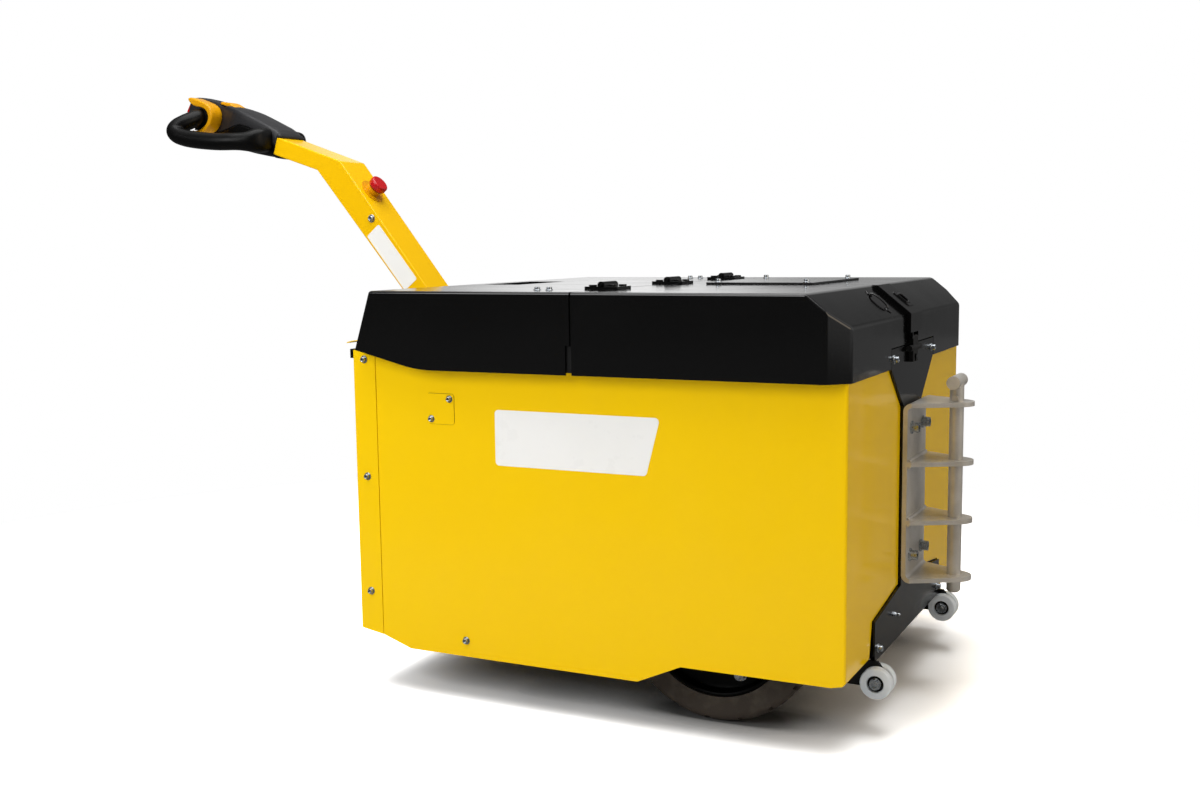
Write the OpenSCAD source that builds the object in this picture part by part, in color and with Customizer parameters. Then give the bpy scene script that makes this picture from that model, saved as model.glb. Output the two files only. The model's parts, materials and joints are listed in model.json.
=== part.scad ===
/* [Body] */
// Length of the yellow body from its front face to its rear face
body_l = 935; // [840:1:1130]
// Width over the two side panels
body_w = 818; // [700:1:985]
// Height of the cover tops above the ground
cover_z = 748; // [720:1:900]
// Height of the straight lower edge of the side panels
belly_z = 84; // [70:1:100]
// Thickness of the yellow sheet
sheet_t = 2.5; // [2:0.5:4]
// Outer radius of the sheet at the two front corners
corner_r = 12; // [10:0.5:14]
// Thickness of the steel side frames
frame_t = 8; // [5:0.5:12]
// Thickness of the steel cross plates
cross_t = 10; // [6:0.5:14]
// Length of the rear panel's lips along the sides
lip_l = 48; // [30:1:70]
// Gap between neighbouring body sheets
seam = 1.5; // [0.8:0.1:3]

/* [Covers] */
// How far the covers stand out from each body side
cover_over = 28.5; // [20:0.5:40]
// How far the lid's front face stands ahead of the body
cover_lead = 5; // [4.5:0.5:8]
// Depth of the cover skirts below the cover tops
skirt_h = 140; // [120:1:160]
// Wall thickness of the covers
cover_t = 4; // [3:0.5:6]
// Distance from the lid's front face to the seam between the covers
lid_l = 473; // [430:1:520]
// Width of the seam between the covers
cover_seam = 3.5; // [2:0.5:5]
// Length of the sloped band at the front of the lid
slope_l = 65; // [50:1:80]
// Drop of the sloped band at the front of the lid
slope_drop = 53; // [40:1:60]
// Size of the upright chamfers at the lid's front corners
cover_chamfer = 33; // [20:1:45]
// Distance between the cover's rear top edge and the body's rear face
cover_rear_gap = 58; // [50:1:70]
// How far the cover's rear face leans outward toward its foot
cover_rear_lean = 35; // [25:1:40]
// Height of the cover's rear foot above the side skirt edge
cover_rear_rise = 33; // [20:1:45]

/* [Hitch] */
// Width of the hitch bracket's web
hitch_w = 144; // [120:1:170]
// Height of the hitch bracket over its flanges
hitch_h = 325; // [270:1:340]
// Height of the hitch bracket's lower face above the ground
hitch_z = 215; // [205:1:240]
// Thickness of the hitch bracket and its plates
hitch_t = 8; // [6:0.5:12]
// Outer bend radius of the hitch bracket
hitch_bend = 15; // [12:0.5:20]
// Distance of the pin axis ahead of the lid's front face
pin_x = 79; // [65:1:95]
// Diameter of the hitch pin
pin_d = 25; // [18:0.5:30]
// Radius of the rounded plate ends around the pin
plate_end_r = 31; // [24:0.5:38]
// Radial clearance of the pin in its plates
pin_gap = 0.1; // [0.05:0.01:0.1]

/* [Drive] */
// Diameter of the drive tyres
tyre_d = 360; // [320:1:400]
// Width of the drive tyres
tyre_w = 100; // [80:1:115]
// Distance of the drive axle behind the lid's front face
axle_back = 261; // [240:1:280]
// Gap between each tyre and the body side
tyre_inset = 88; // [60:1:100]
// Number of tread grooves around each tyre
tread_count = 18; // [12:1:24]

/* [Castor] */
// Diameter of the rear castor wheel
castor_d = 150; // [120:1:165]
// Width of the rear castor wheel
castor_w = 50; // [36:1:60]
// Distance of the castor's swivel axis ahead of the body's rear face
castor_ahead = 205; // [185:1:240]
// Trail of the castor wheel behind its swivel axis
castor_trail = 45; // [30:1:55]

/* [Rollers] */
// Diameter of the anti-tip rollers
roller_d = 54; // [46:0.5:60]
// Width of each anti-tip roller
roller_w = 18; // [14:0.5:22]
// Height of the anti-tip roller axis above the ground
roller_z = 90.5; // [86:0.5:98]
// Distance of the anti-tip roller axis ahead of the lid's front face
roller_x = 8.5; // [4:0.5:16]
// Distance of each roller bracket from the body side
roller_inset = 152.5; // [140:0.5:165]

/* [Tiller] */
// Width of the tiller arm
arm_w = 84; // [70:1:92]
// Depth of the tiller arm at its pivot
arm_pivot_depth = 44; // [38:1:50]
// Depth of the tiller arm at its bend
arm_bend_depth = 60; // [52:1:66]
// Depth of the tiller arm at its head
arm_head_depth = 39; // [34:1:42]
// Length of the lower arm from its pivot to the bend
arm_low_l = 613.5; // [540:0.5:680]
// Length of the upper arm from the bend to the head
arm_up_l = 151; // [130:1:180]
// Slope of the lower arm from level
arm_low_deg = 51; // [47:0.5:53]
// Slope of the upper arm from level
arm_up_deg = 18.5; // [15:0.5:22]
// Distance of the tiller axis ahead of the body's rear face
tiller_ahead = 63; // [60:0.5:66]
// Height of the tilt pivot above the ground
pivot_z = 525; // [515:1:535]
// Diameter of the tiller's pivot pin
pivot_d = 20; // [14:0.5:24]
// Diameter of the tiller's steering post
post_d = 40; // [30:0.5:44]
// Diameter of the hand grip tube
grip_d = 35; // [28:0.5:38]
// Half the width over the two hand grips, to the tube's middle
grip_reach = 106; // [100:1:116]
// Distance from the end of the arm to the red button's face
head_reach = 280; // [270:1:296]

/* [Running fits] */
// Radial clearance of wheels, posts and pins that turn
run_gap = 0.05; // [0.02:0.01:0.1]
// Gap between faces of moving and fixed pieces
face_gap = 0.3; // [0.2:0.05:0.6]

/* [Hidden] */
$fn = 48;

// Overrun of every cut past the face that it opens
over = 1;
// Lowest wall that a cut or a rounding leaves
thin = 0.5;

// Places along the length, measured back from the lid's front face
body_front = -cover_lead;
body_rear = body_front - body_l;
split_x = -lid_l;
axle_x = -axle_back;
castor_x = body_rear + castor_ahead;
tiller_x = body_rear + tiller_ahead;
sheet_in = body_w / 2 - sheet_t;
frame_in = sheet_in - frame_t;
bulk_gap = 0.5;
bulk_front = body_front - sheet_t - bulk_gap;
plate_t = -bulk_front;
bulk_back = bulk_front - cross_t;

// Places up the height
skirt_z = cover_z - skirt_h;
tuck_h = 55;
panel_top = skirt_z + tuck_h;
ledge_rise = 30;
ledge_z = skirt_z + ledge_rise;
ledge_l = 28;
seal_t = 6;
frame_top = cover_z - cover_t - seal_t - face_gap;

// Middle bulkhead, behind the lid seam
mid_back_gap = 7;
mid_front = split_x - mid_back_gap;
mid_rear = mid_front - cross_t;
mid_z = 196;
mid_top = skirt_z - mid_back_gap;

// Rear bulkhead, ahead of the tiller bay
bay_l = 102;
rear_front = body_rear + bay_l + cross_t;
rear_rear = rear_front - cross_t;

// Covers
cover_w = body_w + 2 * cover_over;
lid_rear = split_x + cover_seam / 2;
cover_front = split_x - cover_seam / 2;
cover_rear_top = body_rear + cover_rear_gap;
cover_rear_foot = cover_rear_top - cover_rear_lean;
skirt_slope_l = 136;
skirt_blend_l = 32;
notch_w = 8;
notch_h = 50;
tongue_half_top = 160;
tongue_rise = 34;
tongue_foot_z = hitch_z + hitch_h - hitch_bend / 3;
plate_gap = 2;

// Hitch
plate_count = 4;
plate_pitch = (hitch_h - hitch_t) / (plate_count - 1);
bend_in = hitch_bend - hitch_t;
pin_hole_d = pin_d + 2 * pin_gap;
tip_x = pin_x + plate_end_r;
weld_r = 5;
socket_d = 18;
socket_h = 12;
socket_hex = 10;
socket_deep = 6;
washer_d = 24;
washer_t = 2.5;
web_screw_y = 42;
web_screw_edge = 46;
screw_d = 12;
bar_d = 24;
bar_l = 70;
bar_rise = 35;
stop_d = 11;
stop_l = 34;
pin_proud = 25;
pin_chamfer = 4;

// Tiller
pivot = [tiller_x, pivot_z];
low_dir = [-cos(arm_low_deg), sin(arm_low_deg)];
low_up = [sin(arm_low_deg), cos(arm_low_deg)];
up_dir = [-cos(arm_up_deg), sin(arm_up_deg)];
up_up = [sin(arm_up_deg), cos(arm_up_deg)];
bend = pivot + arm_low_l * low_dir;
head = bend + arm_up_l * up_dir;

// Middle of the whole length, from the red button's face to the plates' round ends
button_x = head.x - head_reach;
mid_x = (button_x + tip_x) / 2;

module from_front() translate([-mid_x, 0, 0]) children();

// Prism of an outline in the length and height plane, centred across the width
module across(w) rotate([90, 0, 0]) linear_extrude(w, center = true) children();

// The same on both sides of the middle plane
module both_sides() {
  children();
  mirror([0, 1, 0]) children();
}

module box(from, to) translate(from) cube(to - from);

// Button-head screw lying along X, its seat at the origin and its head ahead
button_d = 15;
button_h = 5;
button_washer_d = 19;
button_washer_t = 1.6;
button_hex = 6;
button_shank_d = 8;
button_shank_l = 16;
module button_screw(shank_l = button_shank_l) {
  rotate([0, 90, 0]) {
    difference() {
      union() {
        cylinder(d = button_washer_d, h = button_washer_t);
        translate([0, 0, button_washer_t])
          rotate_extrude()
            intersection() {
              translate([0, button_h - button_d * 5 / 8]) circle(d = button_d * 5 / 4);
              square([button_d / 2, button_h]);
            }
      }
      translate([0, 0, button_washer_t + button_h / 2]) cylinder(d = button_hex, h = button_h, $fn = 6);
    }
    translate([0, 0, -shank_l]) cylinder(d = button_shank_d, h = shank_l);
  }
}

// Hole for a screw's shank, along X
module shank_hole(l) rotate([0, 90, 0]) cylinder(d = button_shank_d, h = l, center = true);

// Places of the screws that hold the body sheets
lip_screw_x = body_rear + lip_l / 2;
lip_screw_drop = 17;
lip_screw_pitch = 218;
belly_screw_back = 448;
belly_screw_x = axle_x - belly_screw_back;
belly_screw_rise = 30;
module lip_screw_places()
  for (i = [0, 1, 2])
    translate([lip_screw_x, -body_w / 2, ledge_z - lip_screw_drop - i * lip_screw_pitch])
      rotate([0, 0, -90]) children();
module belly_screw_place()
  translate([belly_screw_x, -body_w / 2, belly_z + belly_screw_rise]) rotate([0, 0, -90]) children();
module side_screw_places() {
  lip_screw_places() children();
  belly_screw_place() children();
}

// Side frames: the load-bearing plates behind the side sheets
frame_foot = 12;
arch_back = 107;
arch_rear = axle_x - arch_back;
arch_l = 80;
belly_rise_l = 60;
belly_rise = 20;
front_rise = 36;
nose_rise = 45;
nose_l = 23;
module belly_outline()
  polygon([
    [panel_rear, belly_z + belly_rise],
    [panel_rear + belly_rise_l, belly_z],
    [arch_rear, belly_z],
    [arch_rear + arch_l, belly_z + front_rise],
    [body_front - nose_l, belly_z + front_rise],
    [body_front, belly_z + nose_rise],
    [body_front, panel_top],
    [panel_rear, panel_top]]);
frame_step_h = 36;
module side_frame() {
  color("dimgray") difference() {
    translate([0, -(frame_in + frame_t / 2), 0]) across(frame_t)
      polygon([
        [body_rear + sheet_t + frame_foot, belly_z + belly_rise + frame_foot],
        [body_rear + belly_rise_l + frame_foot, belly_z + frame_foot],
        [arch_rear, belly_z + frame_foot],
        [arch_rear + arch_l, belly_z + front_rise + frame_foot],
        [bulk_back, belly_z + front_rise + frame_foot],
        [bulk_back, skirt_z + frame_step_h],
        [-slope_l, skirt_z + skirt_h / 2],
        [-slope_l, frame_top],
        [cover_rear_top + frame_foot, frame_top],
        [body_rear + ledge_l + frame_foot, ledge_z - frame_foot],
        [body_rear + sheet_t + frame_foot, ledge_z - frame_foot]]);
    side_screw_places() shank_hole(2 * (sheet_t + frame_t + over));
    hatch_window(hatch_l / 2);
  }
}
module side_frames() from_front() both_sides() side_frame();

// Cross plates between the side frames
bulk_z = belly_z + front_rise + 2 * sheet_t;
module front_bulkhead() {
  color("dimgray") from_front() difference() {
    box([bulk_back, -frame_in, bulk_z], [bulk_front, frame_in, panel_top]);
    hitch_screw_places() rotate([0, 90, 0]) cylinder(d = screw_d, h = 4 * cross_t, center = true);
    front_screw_places() shank_hole(4 * cross_t);
  }
}
module middle_bulkhead()
  color("dimgray") from_front() box([mid_rear, -frame_in, mid_z], [mid_front, frame_in, mid_top]);
castor_gap_z = 14;
swivel_h = 34;
mount_t = 8;
tray_t = 5;
tray_z = castor_d + castor_gap_z + swivel_h + mount_t;
// Rear bulkhead with the bearing block of the steering post
block_low_z = 412;
block_top_z = 468;
block_r = 40;
block_w = 64;
yoke_base_d = 2 * (tiller_ahead - sheet_t - seam);
yoke_room = 8;
module steering_block()
  difference() {
    union() {
      translate([tiller_x, 0, block_low_z]) cylinder(r = block_r, h = block_top_z - block_low_z);
      box([tiller_x, -block_w / 2, block_low_z], [rear_rear + cross_t / 2, block_w / 2, block_top_z]);
    }
    translate([tiller_x, 0, block_low_z - over])
      cylinder(d = post_d + 2 * run_gap, h = block_top_z - block_low_z + 2 * over);
  }
module rear_bulkhead()
  color("dimgray") from_front() {
    difference() {
      box([rear_rear, -frame_in, tray_z], [rear_front, frame_in, panel_top]);
      box([rear_rear - over, -yoke_base_d / 2 - yoke_room, block_top_z],
        [rear_front + over, yoke_base_d / 2 + yoke_room, panel_top + over]);
    }
    steering_block();
  }
tray_lip_h = 30;
module battery_tray()
  color("dimgray") from_front() {
    box([rear_front, -frame_in, tray_z], [mid_rear, frame_in, tray_z + tray_t]);
    both_sides() box([rear_front, -frame_in, tray_z + tray_t],
      [mid_rear, -frame_in + tray_t, tray_z + tray_t + tray_lip_h]);
  }

// Yellow side sheet, wrapped round the front corner and cut out round the hitch
cut_side_y = 250;
cut_low_y = 265;
cut_side_z = 190;
cut_half = hitch_w / 2 + plate_gap;
front_edge_z = belly_z + nose_rise;
module front_outline()
  polygon([
    [-body_w / 2 - over, front_edge_z],
    [-cut_low_y, front_edge_z],
    [-cut_side_y, cut_side_z],
    [-cut_half, hitch_z - plate_gap],
    [-cut_half, tongue_foot_z],
    [-tongue_half_top - plate_gap, skirt_z],
    [-tongue_half_top - plate_gap, panel_top],
    [-body_w / 2 - over, panel_top]]);
module corner_plan(rear_x)
  difference() {
    intersection() {
      translate([rear_x, -body_w / 2]) square([body_front - rear_x, body_w / 2]);
      union() {
        translate([rear_x, -body_w / 2]) square([body_front - corner_r - rear_x, body_w / 2]);
        translate([rear_x, -body_w / 2 + corner_r]) square([body_front - rear_x, body_w / 2]);
        translate([body_front - corner_r, -body_w / 2 + corner_r]) circle(r = corner_r);
      }
    }
    translate([rear_x - over, -sheet_in]) square([body_front - corner_r - rear_x + over, body_w]);
    translate([rear_x - over, -body_w / 2 + corner_r]) square([body_front - sheet_t - rear_x + over, body_w]);
    translate([body_front - corner_r, -body_w / 2 + corner_r]) circle(r = corner_r - sheet_t);
  }
panel_rear = body_rear + lip_l + seam;
module side_panel() {
  color("gold") difference() {
    intersection() {
      linear_extrude(cover_z) corner_plan(panel_rear);
      union() {
        translate([0, -body_w / 2, 0]) across(2 * corner_r) belly_outline();
        translate([body_front - corner_r, 0, 0]) rotate([90, 0, 90]) linear_extrude(2 * corner_r)
          front_outline();
      }
    }
    side_screw_places() shank_hole(2 * sheet_t + over);
    hatch_window(0);
  }
}
module side_panel_left() from_front() mirror([0, 1, 0]) side_panel();
module side_panel_right() from_front() side_panel();

// Small hatch on each side, over the charger fuses
hatch_back = 780;
hatch_l = 57;
hatch_h = 55;
hatch_z = 509;
hatch_r = 5;
hatch_rim = 6;
hatch_lift = 1.2;
module rounded_rect(l, h, r)
  union() {
    translate([r, 0]) square([l - 2 * r, h]);
    translate([0, r]) square([l, h - 2 * r]);
    for (x = [r, l - r], y = [r, h - r]) translate([x, y]) circle(r = r);
  }
module hatch_window(extra)
  translate([-hatch_back + hatch_rim, -body_w / 2, hatch_z + hatch_rim]) rotate([90, 0, 0])
    linear_extrude(4 * (sheet_t + extra), center = true)
      rounded_rect(hatch_l - 2 * hatch_rim, hatch_h - 2 * hatch_rim, hatch_r);
module hatch()
  translate([-hatch_back, -body_w / 2, hatch_z]) rotate([90, 0, 0])
    linear_extrude(hatch_lift) rounded_rect(hatch_l, hatch_h, hatch_r);
module side_hatches() color("gold") from_front() both_sides() hatch();

// Rear sheet, folded onto the sides and open above for the tiller
slot_half = 68;
slot_z = 500;
rear_foot_rise = 28;
module rear_panel() {
  color("gold") from_front() difference() {
    union() {
      box([body_rear, -body_w / 2, belly_z + rear_foot_rise], [body_rear + sheet_t, body_w / 2, ledge_z]);
      box([body_rear, -body_w / 2, ledge_z - sheet_t], [body_rear + ledge_l, body_w / 2, ledge_z]);
      both_sides() translate([0, -body_w / 2 + sheet_t / 2, 0]) across(sheet_t)
        polygon([[body_rear, belly_z + rear_foot_rise], [body_rear + lip_l, belly_z + belly_rise],
          [body_rear + lip_l, ledge_z - seam], [body_rear, ledge_z]]);
    }
    box([body_rear - over, -slot_half, slot_z], [body_rear + ledge_l + over, slot_half, ledge_z + over]);
    both_sides() lip_screw_places() shank_hole(2 * sheet_t + over);
    inlet_cut();
  }
}

// Black cover over the rear of the body
module cover_plan(front, rear, chamfer)
  polygon([
    [front, -cover_w / 2 + chamfer], [front, cover_w / 2 - chamfer],
    [front - chamfer, cover_w / 2], [rear, cover_w / 2],
    [rear, -cover_w / 2], [front - chamfer, -cover_w / 2]]);
panel_cut_l = 80;
panel_cut_w = 197;
panel_back = 804;
panel_deep = 20;
module panel_cut(shrink)
  translate([-panel_back - panel_cut_l / 2 + shrink, -panel_cut_w / 2 + shrink])
    square([panel_cut_l - 2 * shrink, panel_cut_w - 2 * shrink]);
function skirt_curve() = [for (i = [0 : 6])
  let (t = i / 6, a = cover_rear_foot + skirt_slope_l, z = cover_rear_rise * skirt_blend_l / skirt_slope_l)
  [a - skirt_blend_l + 2 * skirt_blend_l * t, skirt_z + z * (1 - t) * (1 - t)]];
module rear_cover() {
  color("black") from_front() difference() {
    across(cover_w) polygon(concat(
      [[cover_front, cover_z], [cover_rear_top, cover_z],
       [cover_rear_foot, skirt_z + cover_rear_rise]],
      skirt_curve(), [[cover_front, skirt_z]]));
    across(cover_w - 2 * cover_t)
      polygon([
        [cover_front + over, cover_z - cover_t],
        [cover_rear_top + cover_t, cover_z - cover_t],
        [cover_rear_foot + cover_t, skirt_z + cover_rear_rise],
        [cover_rear_foot + cover_t, skirt_z - over], [cover_front + over, skirt_z - over]]);
    box([cover_front - notch_w, -cover_w, skirt_z - over],
      [cover_front + over, cover_w, skirt_z + notch_h]);
    linear_extrude(cover_z + over) panel_cut(0);
    both_sides() cover_screw_places() shank_hole(4 * cover_t);
  }
}
cover_screw_x = [-581, -557];
cover_screw_y = 352;
module cover_screw_places()
  for (x = cover_screw_x) translate([x, -cover_screw_y, cover_z]) rotate([0, -90, 0]) children();

// Rubber seal between the frames and the covers
module cover_seal()
  color("black") from_front()
    both_sides()
      box([cover_rear_top + 2 * frame_foot, -frame_in - frame_t, frame_top],
        [-slope_l - frame_foot, -frame_in, frame_top + seal_t]);

// Recessed instrument panel in the rear cover
panel_wall = 2;
gauge_l = 34;
gauge_w = 62;
gauge_h = 6;
gauge_y = 48;
key_y = -52;
key_d = 22;
key_h = 8;
key_bow_t = 3;
key_bow_h = 7;
panel_floor_z = cover_z - panel_deep;
module instrument_panel() {
  color("dimgray") from_front() {
    difference() {
      translate([0, 0, panel_floor_z]) linear_extrude(panel_deep - panel_wall) panel_cut(face_gap);
      translate([0, 0, panel_floor_z + panel_wall]) linear_extrude(panel_deep) panel_cut(panel_wall);
      translate([-panel_back, key_y, 0]) cylinder(d = key_d + 2 * run_gap, h = cover_z);
    }
    translate([-panel_back - gauge_l / 2, gauge_y - gauge_w / 2, panel_floor_z + panel_wall])
      cube([gauge_l, gauge_w, gauge_h]);
  }
}
module key_switch()
  color("silver") from_front() translate([-panel_back, key_y, panel_floor_z]) {
    cylinder(d = key_d, h = key_h);
    translate([-key_d / 2, -key_bow_t / 2, key_h]) cube([key_d, key_bow_t, key_bow_h]);
  }

// Black front plate: the tongue above the bracket, the web behind it and the broad foot
plate_drop = 11;
plate_foot_z = belly_z + nose_rise - plate_drop;
plate_half_foot = cut_side_y - plate_gap;
module front_plate_outline()
  polygon([
    [-plate_half_foot, plate_foot_z], [plate_half_foot, plate_foot_z],
    [plate_half_foot, cut_side_z - plate_gap], [cut_half - 2 * plate_gap, hitch_z - 2 * plate_gap],
    [cut_half - 2 * plate_gap, tongue_foot_z], [tongue_half_top, skirt_z],
    [tongue_half_top, skirt_z + tongue_rise], [-tongue_half_top, skirt_z + tongue_rise],
    [-tongue_half_top, skirt_z], [-cut_half + 2 * plate_gap, tongue_foot_z],
    [-cut_half + 2 * plate_gap, hitch_z - 2 * plate_gap], [-plate_half_foot, cut_side_z - plate_gap]]);
latch_y = -20;
stud_d = 6;
stud_head_d = 9;
stud_head_t = 2;
stud_l = 9;
stud_z = 620;
module front_plate()
  color("black") from_front() {
    front_sheet();
    translate([-thin, latch_y, stud_z]) rotate([0, 90, 0]) {
      cylinder(d = stud_d, h = stud_l + thin);
      translate([0, 0, stud_l + thin]) cylinder(d = stud_head_d, h = stud_head_t);
    }
  }
module front_sheet()
  difference() {
    translate([bulk_front, 0, 0]) rotate([90, 0, 90]) linear_extrude(plate_t) front_plate_outline();
    hitch_screw_places() rotate([0, 90, 0]) cylinder(d = screw_d, h = 4 * cross_t, center = true);
    front_screw_places() shank_hole(4 * cross_t);
  }

// Screws in the front plate: two by the latch and two in the foot
tongue_screw_y = 143;
tongue_screw_z = 624;
foot_screw_y = 227;
foot_screw_z = 138;
module front_screw_places()
  both_sides() {
    translate([0, -tongue_screw_y, tongue_screw_z]) children();
    translate([0, -foot_screw_y, foot_screw_z]) children();
  }
nipple_y = 118;
nipple_z = 169;
nipple_d = 6;
nipple_l = 12;
nipple_ball_d = 7;
hatch_screw_d = 8;
hatch_screw_h = 2;
hatch_screw_edge = 9;
module hatch_screw_places()
  for (i = [0, 1])
    translate([
      -hatch_back + hatch_screw_edge + i * (hatch_l - 2 * hatch_screw_edge),
      -body_w / 2 - hatch_lift,
      hatch_z + hatch_screw_edge + i * (hatch_h - 2 * hatch_screw_edge)]) rotate([90, 0, 0]) children();
module panel_screws()
  color("silver") from_front() {
    front_screw_places() button_screw();
    both_sides() {
      side_screw_places() button_screw(sheet_t + frame_t);
      cover_screw_places() button_screw(cover_t);
      hatch_screw_places() cylinder(d = hatch_screw_d, h = hatch_screw_h);
    }
    translate([0, -nipple_y, nipple_z]) rotate([0, 90, 0]) {
      cylinder(d = nipple_d, h = nipple_l);
      translate([0, 0, nipple_l - nipple_ball_d / 4]) sphere(d = nipple_ball_d);
    }
  }

// Hitch bracket: a folded channel with two plates welded between its flanges
module hitch_screw_places()
  for (y = [-web_screw_y, web_screw_y], z = [hitch_z + web_screw_edge, hitch_z + hitch_h - web_screw_edge])
    translate([0, y, z]) children();
module channel_outline()
  difference() {
    union() {
      translate([0, hitch_z + hitch_bend]) square([hitch_bend, hitch_h - 2 * hitch_bend]);
      translate([hitch_bend, hitch_z]) square([tip_x - hitch_bend, hitch_h]);
      for (z = [hitch_bend, hitch_h - hitch_bend])
        translate([hitch_bend, hitch_z + z]) circle(r = hitch_bend);
    }
    translate([hitch_t, hitch_z + hitch_bend]) square([tip_x, hitch_h - 2 * hitch_bend]);
    translate([hitch_bend, hitch_z + hitch_t]) square([tip_x, hitch_h - 2 * hitch_t]);
    for (z = [hitch_bend, hitch_h - hitch_bend]) translate([hitch_bend, hitch_z + z]) circle(r = bend_in);
  }
// Corner of the straight plate edge and its round end
end_deg = acos(plate_end_r / norm([pin_x - hitch_bend, hitch_w / 2]));
edge_deg = atan2(hitch_w / 2, pin_x - hitch_bend);
touch_deg = 180 - edge_deg - end_deg;
module plate_plan()
  union() {
    translate([pin_x, 0]) circle(r = plate_end_r);
    polygon([
      [0, -hitch_w / 2], [hitch_bend, -hitch_w / 2],
      [pin_x + plate_end_r * cos(touch_deg), -plate_end_r * sin(touch_deg)],
      [pin_x + plate_end_r * cos(touch_deg), plate_end_r * sin(touch_deg)],
      [hitch_bend, hitch_w / 2], [0, hitch_w / 2]]);
  }
module hitch_bracket()
  color("gray") from_front() difference() {
    union() {
      intersection() {
        across(hitch_w) channel_outline();
        translate([0, 0, hitch_z]) linear_extrude(hitch_h) plate_plan();
      }
      for (i = [1 : plate_count - 2]) translate([0, 0, hitch_z + i * plate_pitch]) {
        intersection() {
          linear_extrude(hitch_t) plate_plan();
          box([hitch_t - thin, -hitch_w, -over], [tip_x + over, hitch_w, hitch_t + over]);
        }
        for (z = [0, hitch_t]) translate([hitch_t, 0, z]) rotate([90, 0, 0])
          cylinder(r = weld_r, h = hitch_w - 2 * weld_r, center = true);
      }
    }
    translate([pin_x, 0, hitch_z - over]) cylinder(d = pin_hole_d, h = hitch_h + 2 * over);
    hitch_screw_places() rotate([0, 90, 0]) cylinder(d = screw_d, h = 4 * cross_t, center = true);
  }
module hitch_screws()
  color("silver") from_front() hitch_screw_places() rotate([0, 90, 0]) {
    translate([0, 0, hitch_t]) cylinder(d = washer_d, h = washer_t);
    difference() {
      translate([0, 0, hitch_t + washer_t]) cylinder(d = socket_d, h = socket_h);
      translate([0, 0, hitch_t + washer_t + socket_h - socket_deep])
        cylinder(d = socket_hex, h = socket_deep + over, $fn = 6);
    }
    translate([0, 0, bulk_back]) cylinder(d = screw_d, h = hitch_t - bulk_back);
  }

// Hitch pin with its cross bar and stop
bar_z = hitch_z + hitch_h + bar_rise;
module hitch_pin()
  color("silver") from_front() translate([pin_x, 0, 0]) {
    translate([0, 0, hitch_z - pin_proud + pin_chamfer])
      cylinder(d = pin_d, h = bar_z - hitch_z + pin_proud - pin_chamfer);
    translate([0, 0, hitch_z - pin_proud])
      cylinder(d1 = pin_d - 2 * pin_chamfer, d2 = pin_d, h = pin_chamfer);
    translate([0, 0, bar_z]) rotate([90, 0, 0]) cylinder(d = bar_d, h = bar_l, center = true);
    translate([0, 0, hitch_z + hitch_h + face_gap + stop_d / 2]) rotate([90, 0, 0])
      cylinder(d = stop_d, h = stop_l, center = true);
  }

// Anti-tip rollers: two on each bracket, on one bolt
bracket_t = 5;
bracket_y = body_w / 2 - roller_inset;
bracket_nose_r = 24;
bracket_l = 48;
bracket_foot = 11;
bracket_h = 72;
bolt_d = 12;
bolt_head_d = 18;
bolt_head_h = 11;
bolt_hex = 8;
nut_d = 21;
nut_h = 10;
recess_d = 28;
recess_deep = 6;
roller_round = 3;
pair_half = bracket_t / 2 + face_gap + roller_w;
module roller_bracket()
  translate([0, -bracket_y, 0]) across(bracket_t) difference() {
    union() {
      translate([roller_x, roller_z]) circle(r = bracket_nose_r);
      polygon([
        [roller_x, roller_z - bracket_nose_r], [roller_x - bracket_nose_r, roller_z - bracket_foot],
        [bulk_back - bracket_l, roller_z - bracket_foot],
        [bulk_back - bracket_l, bulk_z + bracket_h], [bulk_back, bulk_z + bracket_h],
        [bulk_back, bulk_z - thin], [roller_x, bulk_z - thin], [roller_x + bracket_nose_r, roller_z]]);
    }
    translate([roller_x, roller_z]) circle(d = bolt_d);
  }
module roller_brackets() color("black") from_front() both_sides() roller_bracket();
module roller_disc()
  rotate([90, 0, 0]) rotate_extrude() difference() {
    union() {
      translate([0, -roller_w / 2 + roller_round]) square([roller_d / 2, roller_w - 2 * roller_round]);
      translate([0, -roller_w / 2]) square([roller_d / 2 - roller_round, roller_w]);
      for (z = [-1, 1]) translate([roller_d / 2 - roller_round, z * (roller_w / 2 - roller_round)])
        circle(r = roller_round);
    }
    translate([-roller_d, -roller_w]) square([roller_d + bolt_d / 2 + run_gap, 2 * roller_w]);
  }
// A roller, its recess facing away from the bracket
module roller(side, outer) {
  y = side * (bracket_y + outer * (bracket_t / 2 + face_gap + roller_w / 2));
  color("whitesmoke") from_front() translate([roller_x, y, roller_z]) difference() {
    roller_disc();
    translate([0, side * outer * (roller_w / 2 - recess_deep / 2 + over / 2), 0]) rotate([90, 0, 0])
      cylinder(d = recess_d, h = recess_deep + over, center = true);
  }
}
module roller_left_outer() roller(1, 1);
module roller_left_inner() roller(1, -1);
module roller_right_outer() roller(-1, 1);
module roller_right_inner() roller(-1, -1);
bolt_seat = pair_half - recess_deep + face_gap;
module roller_bolt()
  translate([roller_x, -bracket_y, roller_z]) rotate([90, 0, 0]) {
    difference() {
      translate([0, 0, bolt_seat]) cylinder(d = bolt_head_d, h = bolt_head_h);
      translate([0, 0, bolt_seat + bolt_head_h / 2]) cylinder(d = bolt_hex, h = bolt_head_h, $fn = 6);
    }
    translate([0, 0, -bolt_seat - nut_h]) cylinder(d = bolt_d, h = 2 * bolt_seat + nut_h);
    translate([0, 0, -bolt_seat - nut_h]) cylinder(d = nut_d, h = nut_h, $fn = 6);
  }
module roller_bolts() color("silver") from_front() both_sides() roller_bolt();

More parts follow.
